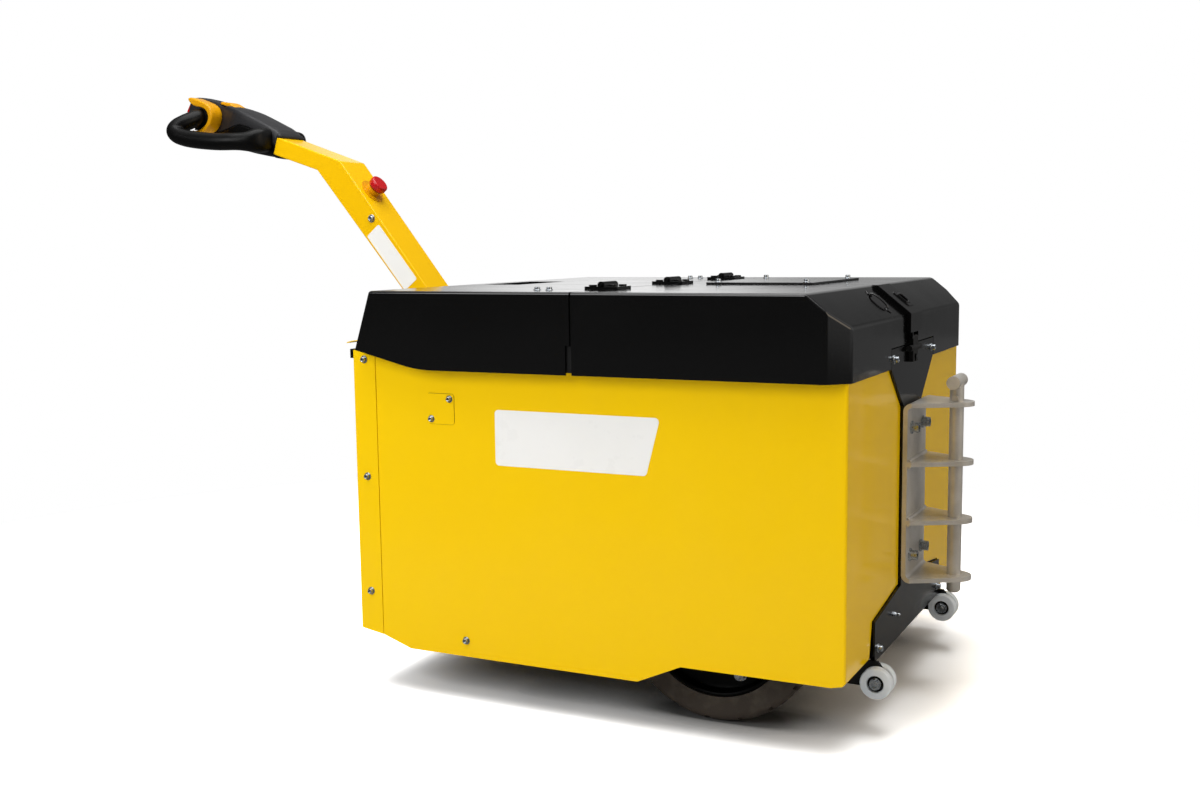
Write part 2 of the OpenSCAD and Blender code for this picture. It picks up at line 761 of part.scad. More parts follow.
// Drive: subframe, transaxle, and the motor with its brake
axle_z = tyre_d / 2;
wheel_out = body_w / 2 - tyre_inset;
wheel_in = wheel_out - tyre_w;
sub_y = wheel_in - 31;
sub_t = 8;
sub_low = 50;
sub_high = 82;
tube_d = 70;
case_d = 170;
case_w = 130;
tube_gap = 6;
stub_d = 40;
stub_l = 70;
flange_d = 150;
flange_t = 14;
motor_d = 146;
motor_l = 190;
motor_z = axle_z + case_d / 2 + flange_t;
motor_fins = 16;
fin_w = 4;
fin_t = 4;
brake_d = 110;
brake_h = 52;
module drive_subframe()
  color("dimgray") from_front() both_sides() translate([0, -sub_y, 0]) across(sub_t) difference() {
    translate([mid_front, axle_z - sub_low]) square([bulk_back - mid_front, sub_low + sub_high]);
    translate([axle_x, axle_z]) circle(d = tube_d + 2 * face_gap);
  }
module transaxle()
  color("silver") from_front() translate([axle_x, 0, axle_z]) {
    difference() {
      union() {
        rotate([90, 0, 0]) cylinder(d = case_d, h = case_w, center = true);
        rotate([90, 0, 0]) cylinder(d = tube_d, h = 2 * (wheel_in - tube_gap), center = true);
        cylinder(d = flange_d, h = case_d / 2 + flange_t);
      }
      rotate([90, 0, 0]) cylinder(d = stub_d + 2 * run_gap, h = 2 * wheel_in, center = true);
    }
  }
module drive_motor()
  color("dimgray") from_front() translate([axle_x, 0, motor_z]) {
    cylinder(d = motor_d, h = motor_l);
    cylinder(d = brake_d, h = motor_l + brake_h);
    for (i = [0 : motor_fins - 1]) rotate([0, 0, i * 360 / motor_fins])
      translate([motor_d / 2 - thin, -fin_t / 2, motor_l / 6]) cube([fin_w, fin_t, motor_l * 2 / 3]);
  }

// Drive wheels
rim_r = 135;
rim_t = 6;
tyre_round = 16;
groove_w = 9;
groove_deep = 7;
groove_l = 34;
hub_d = 200;
hub_t = 14;
disc_back = 40;
lug_count = 5;
lug_ring_r = 83;
lug_d = 20;
lug_h = 12;
module tyre(side) {
  mid_y = side * (wheel_out - tyre_w / 2);
  color("dimgray") from_front() translate([axle_x, mid_y, axle_z]) difference() {
    rotate([90, 0, 0]) rotate_extrude($fn = 120) union() {
      translate([rim_r, -tyre_w / 2]) square([axle_z - tyre_round - rim_r, tyre_w]);
      translate([rim_r, -tyre_w / 2 + tyre_round]) square([axle_z - rim_r, tyre_w - 2 * tyre_round]);
      for (z = [-1, 1])
        translate([axle_z - tyre_round, z * (tyre_w / 2 - tyre_round)]) circle(r = tyre_round);
    }
    for (i = [0 : tread_count - 1], s = [-1, 1])
      rotate([0, (i + s / 4) * 360 / tread_count, 0])
        translate([axle_z - groove_deep, s * tyre_w / 2 - groove_l / 2, -groove_w / 2])
          cube([groove_deep + over, groove_l, groove_w]);
  }
}
module drive_tyre_left() tyre(1);
module drive_tyre_right() tyre(-1);
module rim(side)
  color("black") from_front() translate([axle_x, side * wheel_out, axle_z]) rotate([side * 90, 0, 0]) {
    difference() {
      rotate_extrude($fn = 96) union() {
        translate([rim_r - rim_t, 0]) square([rim_t, tyre_w]);
        translate([0, disc_back]) square([rim_r - rim_t / 2, rim_t]);
        translate([0, disc_back - hub_t]) square([hub_d / 2, hub_t + rim_t]);
        square([stub_d / 2, tyre_w + tube_gap + stub_l]);
      }
      translate([0, 0, -over]) cylinder(d = hub_d, h = disc_back - 2 * hub_t + over);
    }
    for (i = [0 : lug_count - 1]) rotate([0, 0, (i + 3 / 4) * 360 / lug_count])
      translate([lug_ring_r, 0, disc_back - hub_t - lug_h]) cylinder(d = lug_d, h = lug_h + thin, $fn = 6);
  }
module drive_rim_left() rim(1);
module drive_rim_right() rim(-1);

// Rear castor: mount, fork and wheel
mount_l = 150;
mount_w = 130;
race_d = 84;
race_h = 12;
king_d = 20;
crown_h = swivel_h - race_h - face_gap;
crown_d = 96;
king_nut_d = 32;
king_nut_h = 6;
leg_t = 6;
leg_gap = 3;
leg_y = castor_w / 2 + leg_gap;
leg_foot_r = 20;
castor_bolt_d = 12;
castor_bolt_head = 20;
castor_bolt_head_h = 8;
castor_hub_d = 60;
mount_z = tray_z - mount_t;
crown_z = mount_z - swivel_h;
wheel_x = castor_x - castor_trail;
module castor_mount()
  color("silver") from_front() {
    box([castor_x - mount_l / 2, -mount_w / 2, mount_z], [castor_x + mount_l / 2, mount_w / 2, tray_z]);
    translate([castor_x, 0, mount_z - race_h]) cylinder(d = race_d, h = race_h);
    translate([castor_x, 0, crown_z - face_gap]) cylinder(d = king_d, h = swivel_h + face_gap);
    translate([castor_x, 0, crown_z - face_gap - king_nut_h])
      cylinder(d = king_nut_d, h = king_nut_h, $fn = 6);
  }
module castor_fork()
  color("silver") from_front() {
    difference() {
      union() {
        translate([castor_x, 0, crown_z]) cylinder(d = crown_d, h = crown_h);
        both_sides() translate([0, -leg_y - leg_t / 2, 0]) across(leg_t) union() {
          translate([wheel_x, castor_d / 2]) circle(r = leg_foot_r);
          polygon([
            [wheel_x - leg_foot_r, castor_d / 2], [wheel_x + leg_foot_r, castor_d / 2],
            [castor_x + crown_d / 4, crown_z], [castor_x + crown_d / 4, crown_z + crown_h],
            [castor_x - crown_d / 3, crown_z + crown_h], [castor_x - crown_d / 2, crown_z]]);
        }
      }
      translate([castor_x, 0, crown_z - over]) cylinder(d = king_d + 2 * run_gap, h = swivel_h);
    }
    translate([wheel_x, 0, castor_d / 2]) rotate([90, 0, 0]) {
      cylinder(d = castor_bolt_d, h = castor_w + 2 * leg_gap, center = true);
      for (s = [-1, 1]) translate([0, 0, s * (leg_y + leg_t + castor_bolt_head_h / 2)])
        cylinder(d = castor_bolt_head, h = castor_bolt_head_h, center = true, $fn = 6);
    }
  }
castor_round = 8;
module castor_wheel()
  color("dimgray") from_front() translate([wheel_x, 0, castor_d / 2]) rotate([90, 0, 0])
    rotate_extrude() difference() {
      union() {
        translate([0, -castor_w / 2 + castor_round]) square([castor_d / 2, castor_w - 2 * castor_round]);
        translate([0, -castor_w / 2]) square([castor_d / 2 - castor_round, castor_w]);
        for (z = [-1, 1]) translate([castor_d / 2 - castor_round, z * (castor_w / 2 - castor_round)])
          circle(r = castor_round);
        translate([0, -castor_w / 2 - leg_gap + face_gap])
          square([castor_bolt_d, castor_w + 2 * leg_gap - 2 * face_gap]);
      }
      translate([-castor_d, -castor_w]) square([castor_d + castor_bolt_d / 2 + run_gap, 2 * castor_w]);
      for (z = [-1, 1]) translate([castor_hub_d / 2, z * castor_w / 2 - castor_round / 2])
        square([castor_d / 4 - castor_round, castor_round]);
    }

// Batteries in their tray, with their links
battery_gap = 5;
battery_h = 240;
battery_w = 345;
battery_l = (mid_rear - rear_front - 3 * battery_gap) / 2;
post_h = 16;
term_d = 16;
term_edge = 34;
link_w = 22;
link_t = 4;
battery_z = tray_z + tray_t;
function battery_x(i) = rear_front + battery_gap + i * (battery_l + battery_gap);
module batteries()
  color("slategray") from_front() for (i = [0, 1]) both_sides() {
    box(
      [battery_x(i), battery_gap / 2, battery_z],
      [battery_x(i) + battery_l, battery_w, battery_z + battery_h]);
    for (y = [term_edge, battery_w - term_edge])
      translate([battery_x(i) + battery_l / 2, y, battery_z + battery_h]) cylinder(d = term_d, h = post_h);
  }
module battery_links()
  color("goldenrod") from_front() {
    for (i = [0, 1])
      box([battery_x(i) + battery_l / 2 - link_w / 2, -term_edge, battery_z + battery_h + post_h],
        [battery_x(i) + battery_l / 2 + link_w / 2, term_edge, battery_z + battery_h + post_h + link_t]);
    both_sides()
      box([battery_x(0) + battery_l / 2, battery_w - term_edge - link_w / 2, battery_z + battery_h + post_h],
        [battery_x(1) + battery_l / 2, battery_w - term_edge + link_w / 2,
          battery_z + battery_h + post_h + link_t]);
  }

// Electrics on the bulkheads, under the lid
box_z = 400;
control_l = 66;
control_w = 230;
control_h = 170;
control_y = 105;
rib_count = 9;
rib_t = 4;
rib_h = 14;
module motor_controller()
  color("dimgray") from_front() {
    box([mid_front, -control_y - control_w, box_z], [mid_front + control_l, -control_y, box_z + control_h]);
    for (i = [0 : rib_count - 1])
      translate([
        mid_front + control_l,
        -control_y - control_w + i * (control_w - rib_t) / (rib_count - 1), box_z])
        cube([rib_h, rib_t, control_h]);
  }
contact_l = 60;
contact_w = 70;
contact_h = 90;
contact_y = 120;
module contactor()
  color("black") from_front() {
    box([mid_front, contact_y, box_z], [mid_front + contact_l, contact_y + contact_w, box_z + contact_h]);
    for (y = [1 / 4, 3 / 4])
      translate([mid_front + contact_l / 2, contact_y + y * contact_w, box_z + contact_h])
      cylinder(d = term_d / 2, h = post_h);
  }
charger_l = 84;
charger_w = 230;
charger_h = 180;
charger_y = 120;
module charger()
  color("silver") from_front() {
    box([bulk_back - charger_l, charger_y, box_z], [bulk_back, charger_y + charger_w, box_z + charger_h]);
    for (i = [0 : rib_count - 1])
      translate([bulk_back - charger_l - rib_h, charger_y + i * (charger_w - rib_t) / (rib_count - 1), box_z])
        cube([rib_h, rib_t, charger_h]);
  }

// Charging socket on the rear sheet's corner, under a curved shield
inlet_y = 380;
inlet_w = 30;
inlet_proud = 13;
inlet_rise = 7;
socket_w = 22;
socket_l = 40;
socket_low = 30;
socket_roof = 4;
socket_bore = 14;
shield_l = 34;
shield_h = 7;
shield_t = 2;
module inlet_socket(grow)
  box([body_rear - thin, -inlet_y - socket_w / 2 - grow, ledge_z - socket_low - grow],
    [body_rear + socket_l, -inlet_y + socket_w / 2 + grow, ledge_z - socket_roof + grow]);
module inlet_cut() inlet_socket(face_gap);
module charge_inlet()
  color("black") from_front() {
    difference() {
      union() {
        inlet_socket(0);
        box([body_rear - inlet_proud, -inlet_y - inlet_w / 2, ledge_z - socket_low],
          [body_rear, -inlet_y + inlet_w / 2, ledge_z + inlet_rise]);
      }
      translate([body_rear - inlet_proud - over, -inlet_y, ledge_z - (socket_low + socket_roof) / 2])
        rotate([0, 90, 0]) cylinder(d = socket_bore, h = inlet_proud + socket_l / 2);
    }
    translate([body_rear - inlet_proud - shield_t, -inlet_y, ledge_z + inlet_rise])
      across(inlet_w + 2 * shield_t)
      polygon([
        [0, 0], [shield_l / 5, shield_h * 2 / 3], [shield_l / 2, shield_h], [shield_l, shield_h],
        [shield_l, shield_h - shield_t], [shield_l / 2, shield_h - shield_t], [shield_l / 4, 0]]);
  }

// Hinges between the covers: three, with their pins in the rear cover's leaves
hinge_y = 290;
hinge_w = 56;
hinge_d = 14;
hinge_pin_d = 6;
hinge_pin_proud = 3;
leaf_l = 32;
leaf_t = 5;
boss_d = 14;
boss_h = 3;
knuckle_w = hinge_w / 3 - face_gap;
module hinge_leaf(side)
  difference() {
    union() {
      box([side > 0 ? cover_seam / 2 : -leaf_l, -hinge_w / 2, 0],
        [side > 0 ? leaf_l : -cover_seam / 2, hinge_w / 2, leaf_t]);
      for (y = [-1, 1])
        translate([side * leaf_l * 5 / 8, y * hinge_w / 3, leaf_t]) cylinder(d = boss_d, h = boss_h);
    }
    for (y = side > 0 ? [-1, 1] : [0]) translate([0, y * hinge_w / 3, hinge_d / 2]) rotate([90, 0, 0])
      cylinder(d = hinge_d + 2 * face_gap, h = hinge_w / 3 + face_gap, center = true);
  }
module hinge_knuckle(y)
  translate([0, y * hinge_w / 3, hinge_d / 2]) rotate([90, 0, 0])
    cylinder(d = hinge_d, h = knuckle_w, center = true);
module hinge_places() for (y = [-hinge_y, 0, hinge_y]) translate([split_x, y, cover_z]) children();
module hinge_leaves_cover()
  color("black") from_front() hinge_places() {
    difference() {
      union() {
        hinge_leaf(-1);
        hinge_knuckle(-1);
        hinge_knuckle(1);
      }
      translate([0, 0, hinge_d / 2]) rotate([90, 0, 0])
        cylinder(d = hinge_pin_d, h = 2 * hinge_w, center = true);
    }
    translate([0, 0, hinge_d / 2]) rotate([90, 0, 0])
      cylinder(d = hinge_pin_d, h = hinge_w + 2 * hinge_pin_proud, center = true);
  }
module hinge_leaves_lid()
  color("black") from_front() hinge_places() difference() {
    union() {
      hinge_leaf(1);
      hinge_knuckle(0);
    }
    translate([0, 0, hinge_d / 2]) rotate([90, 0, 0])
      cylinder(d = hinge_pin_d + 2 * run_gap, h = 2 * hinge_w, center = true);
  }

// Front lid: a tray upside down, with a sloped front band and chamfered corners
slope_deg = atan2(slope_drop, slope_l);
lid_inner_z = cover_z - slope_drop - cover_t / cos(slope_deg) + cover_t * tan(slope_deg);
lid_inner_x = -slope_l - cover_t * (1 - cos(slope_deg)) / sin(slope_deg);
module on_slope() translate([-slope_l, 0, cover_z]) rotate([0, slope_deg, 0]) children();
module front_lid()
  color("black") from_front() difference() {
    intersection() {
      across(cover_w) polygon([
        [lid_rear, cover_z], [-slope_l, cover_z],
        [0, cover_z - slope_drop], [0, skirt_z], [lid_rear, skirt_z]]);
      linear_extrude(cover_z) cover_plan(0, lid_rear, cover_chamfer);
    }
    intersection() {
      across(cover_w) polygon([
        [lid_rear - over, cover_z - cover_t], [lid_inner_x, cover_z - cover_t],
        [-cover_t, lid_inner_z], [-cover_t, skirt_z - over], [lid_rear - over, skirt_z - over]]);
      linear_extrude(cover_z) polygon([
        [-cover_t, -cover_w / 2 + cover_chamfer + cover_t / 2],
        [-cover_t, cover_w / 2 - cover_chamfer - cover_t / 2],
        [-cover_chamfer - cover_t / 2, cover_w / 2 - cover_t], [lid_rear - over, cover_w / 2 - cover_t],
        [lid_rear - over, -cover_w / 2 + cover_t], [-cover_chamfer - cover_t / 2, -cover_w / 2 + cover_t]]);
    }
    box([-2 * cover_t, -tongue_half_top - plate_gap, skirt_z - over],
      [over, tongue_half_top + plate_gap, skirt_z + tongue_rise + plate_gap]);
  }

// Raised strip that runs down the lid's front to the latch, with its finger recess
strip_half = 50;
strip_lift = 7;
strip_end_z = 664;
pull_l = 42;
pull_w = 44;
pull_s = 26;
pull_y = 6;
strip_top_x = -slope_l + strip_lift / sin(slope_deg);
strip_front_z = cover_z - slope_drop + strip_lift / cos(slope_deg) - strip_lift * tan(slope_deg);
module latch_strip()
  color("black") from_front() {
    strip_body();
    latch_lugs();
  }
module strip_body()
  difference() {
    across(2 * strip_half) polygon([
      [-slope_l, cover_z], [strip_top_x, cover_z], [strip_lift, strip_front_z],
      [strip_lift, strip_end_z], [0, strip_end_z], [0, cover_z - slope_drop]]);
    on_slope() translate([pull_s, pull_y - pull_w / 2, thin]) cube([pull_l, pull_w, 2 * strip_lift]);
  }

// Small bow handle on the slope
bow_s = 20;
bow_l = 47;
bow_w = 14;
bow_h = 16;
bow_t = 5;
bow_y = 128;
module lid_handle()
  color("black") from_front() on_slope() translate([bow_s, -bow_y - bow_w / 2, 0]) {
    cube([bow_l / 4, bow_w, bow_h - bow_t]);
    translate([bow_l * 3 / 4, 0, 0]) cube([bow_l / 4, bow_w, bow_h - bow_t]);
    translate([0, 0, bow_h - bow_t]) cube([bow_l, bow_w, bow_t]);
  }

// Flat plate screwed to the lid's top
flat_l = 210;
flat_w = 310;
flat_t = 4;
flat_back = 385;
flat_y = -45;
flat_edge = 18;
module flat_screw_places()
  for (x = [flat_edge, flat_l - flat_edge], y = [flat_edge, flat_w - flat_edge])
    translate([-flat_back + x, flat_y + y, cover_z + flat_t]) rotate([0, -90, 0]) children();
module lid_plate()
  color("black") from_front() difference() {
    box([-flat_back, flat_y, cover_z], [-flat_back + flat_l, flat_y + flat_w, cover_z + flat_t]);
    flat_screw_places() shank_hole(4 * flat_t);
  }
module lid_screws() color("silver") from_front() flat_screw_places() button_screw(flat_t);

// Rubber draw latch: it hangs between two lugs and its fork drops over the stud on the front plate
latch_half = 18;
latch_foot_z = 611;
latch_t = 8;
latch_bar_d = 11;
latch_bar_half = 38;
latch_bar_z = 636;
latch_hole_d = 11;
pivot_at_z = 654.5;
latch_pin_d = 4;
lug_t = 4;
latch_mid_x = face_gap + latch_t / 2;
module latch_lugs()
  translate([latch_mid_x, latch_y, pivot_at_z]) {
    rotate([90, 0, 0]) cylinder(d = latch_pin_d, h = 2 * (latch_half + face_gap + lug_t), center = true);
    for (s = [-1, 1]) translate([0, s * (latch_half + face_gap + lug_t / 2), 0]) across(lug_t) union() {
      circle(d = latch_t);
      translate([-latch_mid_x, -latch_t / 2]) square([latch_mid_x, latch_t]);
      translate([-latch_mid_x, 0]) square([latch_mid_x + latch_t / 2, strip_end_z + thin - pivot_at_z]);
    }
  }
module lid_latch()
  color("black") from_front() translate([0, latch_y, 0]) difference() {
    union() {
      box([face_gap, -latch_half, latch_foot_z], [face_gap + latch_t, latch_half, pivot_at_z]);
      translate([latch_mid_x, 0, pivot_at_z]) rotate([90, 0, 0])
        cylinder(d = latch_t, h = 2 * latch_half, center = true);
      translate([face_gap + latch_bar_d / 2, 0, latch_bar_z]) rotate([90, 0, 0])
        cylinder(d = latch_bar_d, h = 2 * latch_bar_half, center = true);
    }
    translate([latch_mid_x, 0, pivot_at_z]) rotate([90, 0, 0])
      cylinder(d = latch_pin_d + 2 * run_gap, h = 4 * latch_half, center = true);
    translate([0, 0, stud_z]) rotate([0, 90, 0]) cylinder(d = latch_hole_d, h = 4 * latch_t, center = true);
    box([0, -latch_hole_d / 2, latch_foot_z - over], [2 * latch_t, latch_hole_d / 2, stud_z]);
  }

// Tiller yoke on its steering post, and the pin that carries the arm
yoke_base_t = 12;
cheek_t = 8;
cheek_r = 27;
collar_d = 58;
collar_h = 8;
yoke_in = arm_w / 2 + face_gap;
module tiller_yoke()
  color("dimgray") from_front() difference() {
    union() {
      translate([tiller_x, 0, block_low_z - face_gap])
        cylinder(d = post_d, h = block_top_z - block_low_z + 2 * face_gap);
      translate([tiller_x, 0, block_low_z - face_gap - collar_h]) cylinder(d = collar_d, h = collar_h);
      translate([tiller_x, 0, block_top_z + face_gap]) cylinder(d = yoke_base_d, h = yoke_base_t);
      both_sides() translate([0, -yoke_in - cheek_t / 2, 0]) across(cheek_t) union() {
        translate([tiller_x, pivot_z]) circle(r = cheek_r);
        translate([tiller_x - cheek_r, block_top_z + face_gap + yoke_base_t / 2])
          square([2 * cheek_r, pivot_z - block_top_z - yoke_base_t / 2]);
      }
    }
    translate([tiller_x, 0, pivot_z]) rotate([90, 0, 0]) cylinder(d = pivot_d, h = 2 * arm_w, center = true);
  }
pin_head_d = 30;
pin_head_h = 5;
module tiller_pivot_pin()
  color("silver") from_front() translate([tiller_x, 0, pivot_z]) rotate([90, 0, 0]) {
    cylinder(d = pivot_d, h = 2 * (yoke_in + cheek_t), center = true);
    for (s = [-1, 1]) translate([0, 0, s * (yoke_in + cheek_t + pin_head_h / 2)])
      cylinder(d = pin_head_d, h = pin_head_h, center = true);
  }

// Tiller arm: a folded box section with one bend
arm_up_depth = 36;
arm_wall = 3;
boss_clear = 34;
function meet(a, b, c, d) = let (
  u = b - a, v = d - c, w = c - a,
  k = (w.x * v.y - w.y * v.x) / (u.x * v.y - u.y * v.x)) a + k * u;
function arm_edge(s, wall) = let (
  a = pivot + s * (arm_pivot_depth / 2 - wall) * low_up,
  b = bend + s * (arm_bend_depth / 2 - wall) * low_up,
  c = bend + s * (arm_up_depth / 2 - wall) * up_up,
  d = head + s * (arm_head_depth / 2 - wall) * up_up)
  [a, meet(a, b, c, d), d];
module arm_outline() polygon(concat(arm_edge(1, 0), [for (p = [2, 1, 0]) arm_edge(-1, 0)[p]]));
// Places on the head are along and above the upper arm's line, from the arm's end
module at_head() translate([head.x, 0, head.y]) rotate([0, arm_up_deg, 0]) mirror([1, 0, 0]) children();
tenon_in = 30;
tenon_out = 55;
tenon_half_w = arm_w / 2 - arm_wall;
tenon_half_h = arm_head_depth / 2 - arm_wall;
module arm_tenon()
  at_head() box([-tenon_in, -tenon_half_w, -tenon_half_h], [tenon_out, tenon_half_w, tenon_half_h]);
module tiller_arm()
  color("gold") from_front() {
    arm_box();
    arm_tenon();
  }
module arm_box()
  difference() {
    union() {
      across(arm_w) arm_outline();
      translate([pivot.x, 0, pivot.y]) rotate([90, 0, 0])
        cylinder(d = arm_pivot_depth, h = arm_w, center = true);
    }
    difference() {
      across(arm_w - 2 * arm_wall) polygon(concat(
        arm_edge(1, arm_wall),
        [arm_edge(1, arm_wall)[2] + over * up_dir, arm_edge(-1, arm_wall)[2] + over * up_dir],
        [for (p = [2, 1, 0]) arm_edge(-1, arm_wall)[p]]));
      translate([pivot.x, 0, pivot.y]) rotate([90, 0, 0])
        cylinder(r = boss_clear, h = 2 * arm_w, center = true);
    }
    translate([pivot.x, 0, pivot.y]) rotate([90, 0, 0])
      cylinder(d = pivot_d + 2 * run_gap, h = 2 * arm_w, center = true);
    stop_place() cylinder(d = stop_neck_d, h = 4 * arm_wall, center = true);
    arm_screw_places() shank_hole(4 * arm_wall);
  }

// Screws through the arm's sides
arm_screw_s = 455;
arm_screw_rise = 12;
module arm_screw_places() {
  p = pivot + arm_screw_s * low_dir + arm_screw_rise * low_up;
  both_sides() translate([p.x, -arm_w / 2, p.y]) rotate([0, 0, -90]) children();
}
module arm_screws() color("silver") from_front() arm_screw_places() button_screw(arm_wall);

// Emergency stop on the arm's upper face
stop_down = 82;
stop_neck_d = 22;
collar_ring_d = 58;
collar_ring_t = 1.5;
collar_top_d = 32;
collar_top_h = 11;
mushroom_d = 40;
mushroom_h = 13;
mushroom_round = 4;
stop_travel = 5;
face_a = arm_edge(1, 0)[1];
face_dir = (arm_edge(1, 0)[0] - face_a) / norm(arm_edge(1, 0)[0] - face_a);
face_deg = atan2(-face_dir.y, face_dir.x);
stop_at = face_a + stop_down * face_dir;
module stop_place() translate([stop_at.x, 0, stop_at.y]) rotate([0, face_deg, 0]) children();
module stop_collar()
  color("yellow") from_front() stop_place() difference() {
    union() {
      cylinder(d = collar_ring_d, h = collar_ring_t);
      cylinder(d = collar_top_d, h = collar_top_h);
      translate([0, 0, -arm_wall - collar_top_h]) cylinder(d = stop_neck_d, h = arm_wall + collar_top_h);
    }
    translate([0, 0, -arm_wall - 2 * collar_top_h])
      cylinder(d = stop_neck_d / 2 + 2 * run_gap, h = 4 * collar_top_h);
  }
module stop_button()
  color("red") from_front() stop_place() {
    translate([0, 0, collar_top_h + stop_travel + face_gap]) {
      cylinder(d = mushroom_d, h = mushroom_h - mushroom_round);
      translate([0, 0, mushroom_h - mushroom_round]) rotate_extrude() {
        square([mushroom_d / 2 - mushroom_round, mushroom_round]);
        intersection() {
          translate([mushroom_d / 2 - mushroom_round, 0]) circle(r = mushroom_round);
          square([mushroom_d, mushroom_round]);
        }
      }
    }
    cylinder(d = stop_neck_d / 2, h = collar_top_h + stop_travel + over);
  }

// Tiller head: outlines as shares of its length, along and above the upper arm's line
head_top_shares = [
  [-0.19, 0.1], [0.007, 0.143], [0.19, 0.16], [0.42, 0.185], [0.646, 0.181], [0.81, 0.164], [0.98, 0.136],
  [1.08, 0.107]];
head_foot_shares = [[0.985, -0.065], [0.807, -0.09], [0.64, -0.105]];
parting_shares = [[0.64, -0.065], [0.393, 0.05], [0.096, 0.05], [0.03, 0], [0, 0]];
visor_shares = [[0, 0.05], [-0.19, 0.05]];
base_foot_shares = [[-0.096, -0.079], [0.19, -0.129], [0.33, -0.129], [0.48, -0.118], [0.64, -0.105]];
base_neck_shares = [[0, -0.05], [-0.096, -0.05]];
// Half widths of the head's wide part as shares of the arm's half width, beside shares of its length
head_half_shares = [[-0.2, 1], [-0.01, 1], [0, 1.06], [0.33, 1.06], [0.48, 0.98], [0.65, 0.9]];
core_half = 19.7;
paddle_shares = [0.784, 0.0175];
paddle_at = head + head_reach * (paddle_shares.x * up_dir + paddle_shares.y * up_up);
head_end_gap = 14;
head_end_x = button_x + head_end_gap;
stub_end = 54;
paddle_room = 3;
paddle_r = 47;
paddle_tip_r = 36;
paddle_w = 35;
rod_r = 32;
rod_d = 8;
rod_slot_l = 12;
rod_slot_h = 32;
function mirrored(p) = concat(p, [for (i = [len(p) - 1 : -1 : 0]) [p[i].x, -p[i].y]]);
module head_plan() {
  polygon(mirrored([for (p = head_half_shares) [p.x * head_reach, p.y * arm_w / 2]]));
  translate([0, -core_half]) square([2 * head_reach, 2 * core_half]);
}
module at_paddle() translate([paddle_at.x, 0, paddle_at.y]) rotate([90, 0, 0]) children();
module head_block(shares)
  difference() {
    at_head() intersection() {
      across(2 * arm_w) polygon(head_reach * shares);
      translate([0, 0, -head_reach]) linear_extrude(2 * head_reach) head_plan();
    }
    across(2 * arm_w) arm_outline();
    arm_tenon();
    both_sides() at_paddle() translate([0, 0, core_half - thin])
      cylinder(r = paddle_r + paddle_room, h = arm_w);
    box([button_x - head_reach, -arm_w, 0], [head_end_x, arm_w, 2 * cover_z]);
  }
// Hollow, rocker pocket and button pocket of the shell
hollow_s = 60;
hollow_l = 100;
hollow_half_w = 34;
hollow_h = 37;
rocker_s = 157;
rocker_l = 94;
rocker_half_w = 19;
rocker_low = 47;
rocker_room = 3;
rocker_pin_n = 46;
rocker_pin_d = 5;
rocker_pin_l = 4;
rocker_rib_r = 4.5;
button_half_w = 14;
button_low_z = 1138;
button_top_z = 1168;
button_back = 32;
button_travel = 8;
module rocker_axis() at_head() translate([rocker_s, 0, rocker_pin_n]) rotate([90, 0, 0]) children();
module head_shell()
  color("dimgray") from_front() {
    difference() {
      head_block(concat(head_top_shares, head_foot_shares, parting_shares, visor_shares));
      at_head() box([hollow_s, -hollow_half_w, 0], [hollow_s + hollow_l, hollow_half_w, hollow_h]);
      at_head() box(
        [rocker_s - rocker_l / 2 - thin, -rocker_half_w - face_gap, rocker_low - rocker_room],
        [rocker_s + rocker_l / 2 + thin, rocker_half_w + face_gap, 2 * rocker_low]);
      rocker_axis() cylinder(r = rocker_rib_r + thin, h = 2 * (rocker_half_w + face_gap), center = true);
      rocker_axis() cylinder(
        d = rocker_pin_d + 2 * run_gap, h = 2 * (rocker_half_w + rocker_pin_l + thin), center = true);
      box([head_end_x - over, -button_half_w - face_gap, button_low_z - face_gap],
        [button_x + button_back + button_travel + over, button_half_w + face_gap, button_top_z + face_gap]);
      at_paddle() rotate([0, 0, -arm_up_deg]) translate([rod_r - rod_slot_l / 2, -rod_slot_h / 2, -arm_w])
        cube([rod_slot_l, rod_slot_h, 2 * arm_w]);
    }
    both_sides() at_paddle() translate([0, 0, core_half - 2 * thin])
      cylinder(d = grip_d, h = stub_end - core_half + 2 * thin);
  }
module head_base()
  color("black") from_front() head_block(concat(
    base_foot_shares, parting_shares, base_neck_shares));

// Closed hand grips: a round tube along a route of shares of the reach, along, across and above
grip_route_shares = [
  [2.19, -0.717, -0.009], [2.38, -0.82, -0.193], [2.376, -0.945, -0.394], [2.183, -1.035, -0.503],
  [1.787, -1.03, -0.439], [1.415, -1.009, -0.34], [1.03, -0.99, -0.25], [0.566, -0.925, -0.146],
  [0.33, -0.745, -0.09]];
grip_root_shares = [0.255, 1.06, -0.075];
grip_sides = 20;
grip_steps = 4;
grip_start = [(head.x - paddle_at.x) * cos(arm_up_deg) + (paddle_at.y - head.y) * sin(arm_up_deg), -stub_end,
  (paddle_at.x - head.x) * sin(arm_up_deg) + (paddle_at.y - head.y) * cos(arm_up_deg)];
grip_end = [
  grip_root_shares.x * grip_reach, -grip_root_shares.y * arm_w / 2, grip_root_shares.z * grip_reach];
grip_route = concat(
  [grip_start + [0, stub_end, 0], grip_start], [for (p = grip_route_shares) grip_reach * p],
  [grip_end, grip_end + [0, stub_end, 0]]);
function spline(a, b, c, d, t) = (2 * b + t * (c - a) + t * t * (2 * a - 5 * b + 4 * c - d)
  + t * t * t * (3 * b - a - 3 * c + d)) / 2;
grip_last = grip_steps * (len(grip_route) - 3);
function grip_point(i) = let (
  k = min(floor(i / grip_steps), len(grip_route) - 4),
  t = i / grip_steps - k) spline(grip_route[k], grip_route[k + 1], grip_route[k + 2], grip_route[k + 3], t);
function unit(v) = v / norm(v);
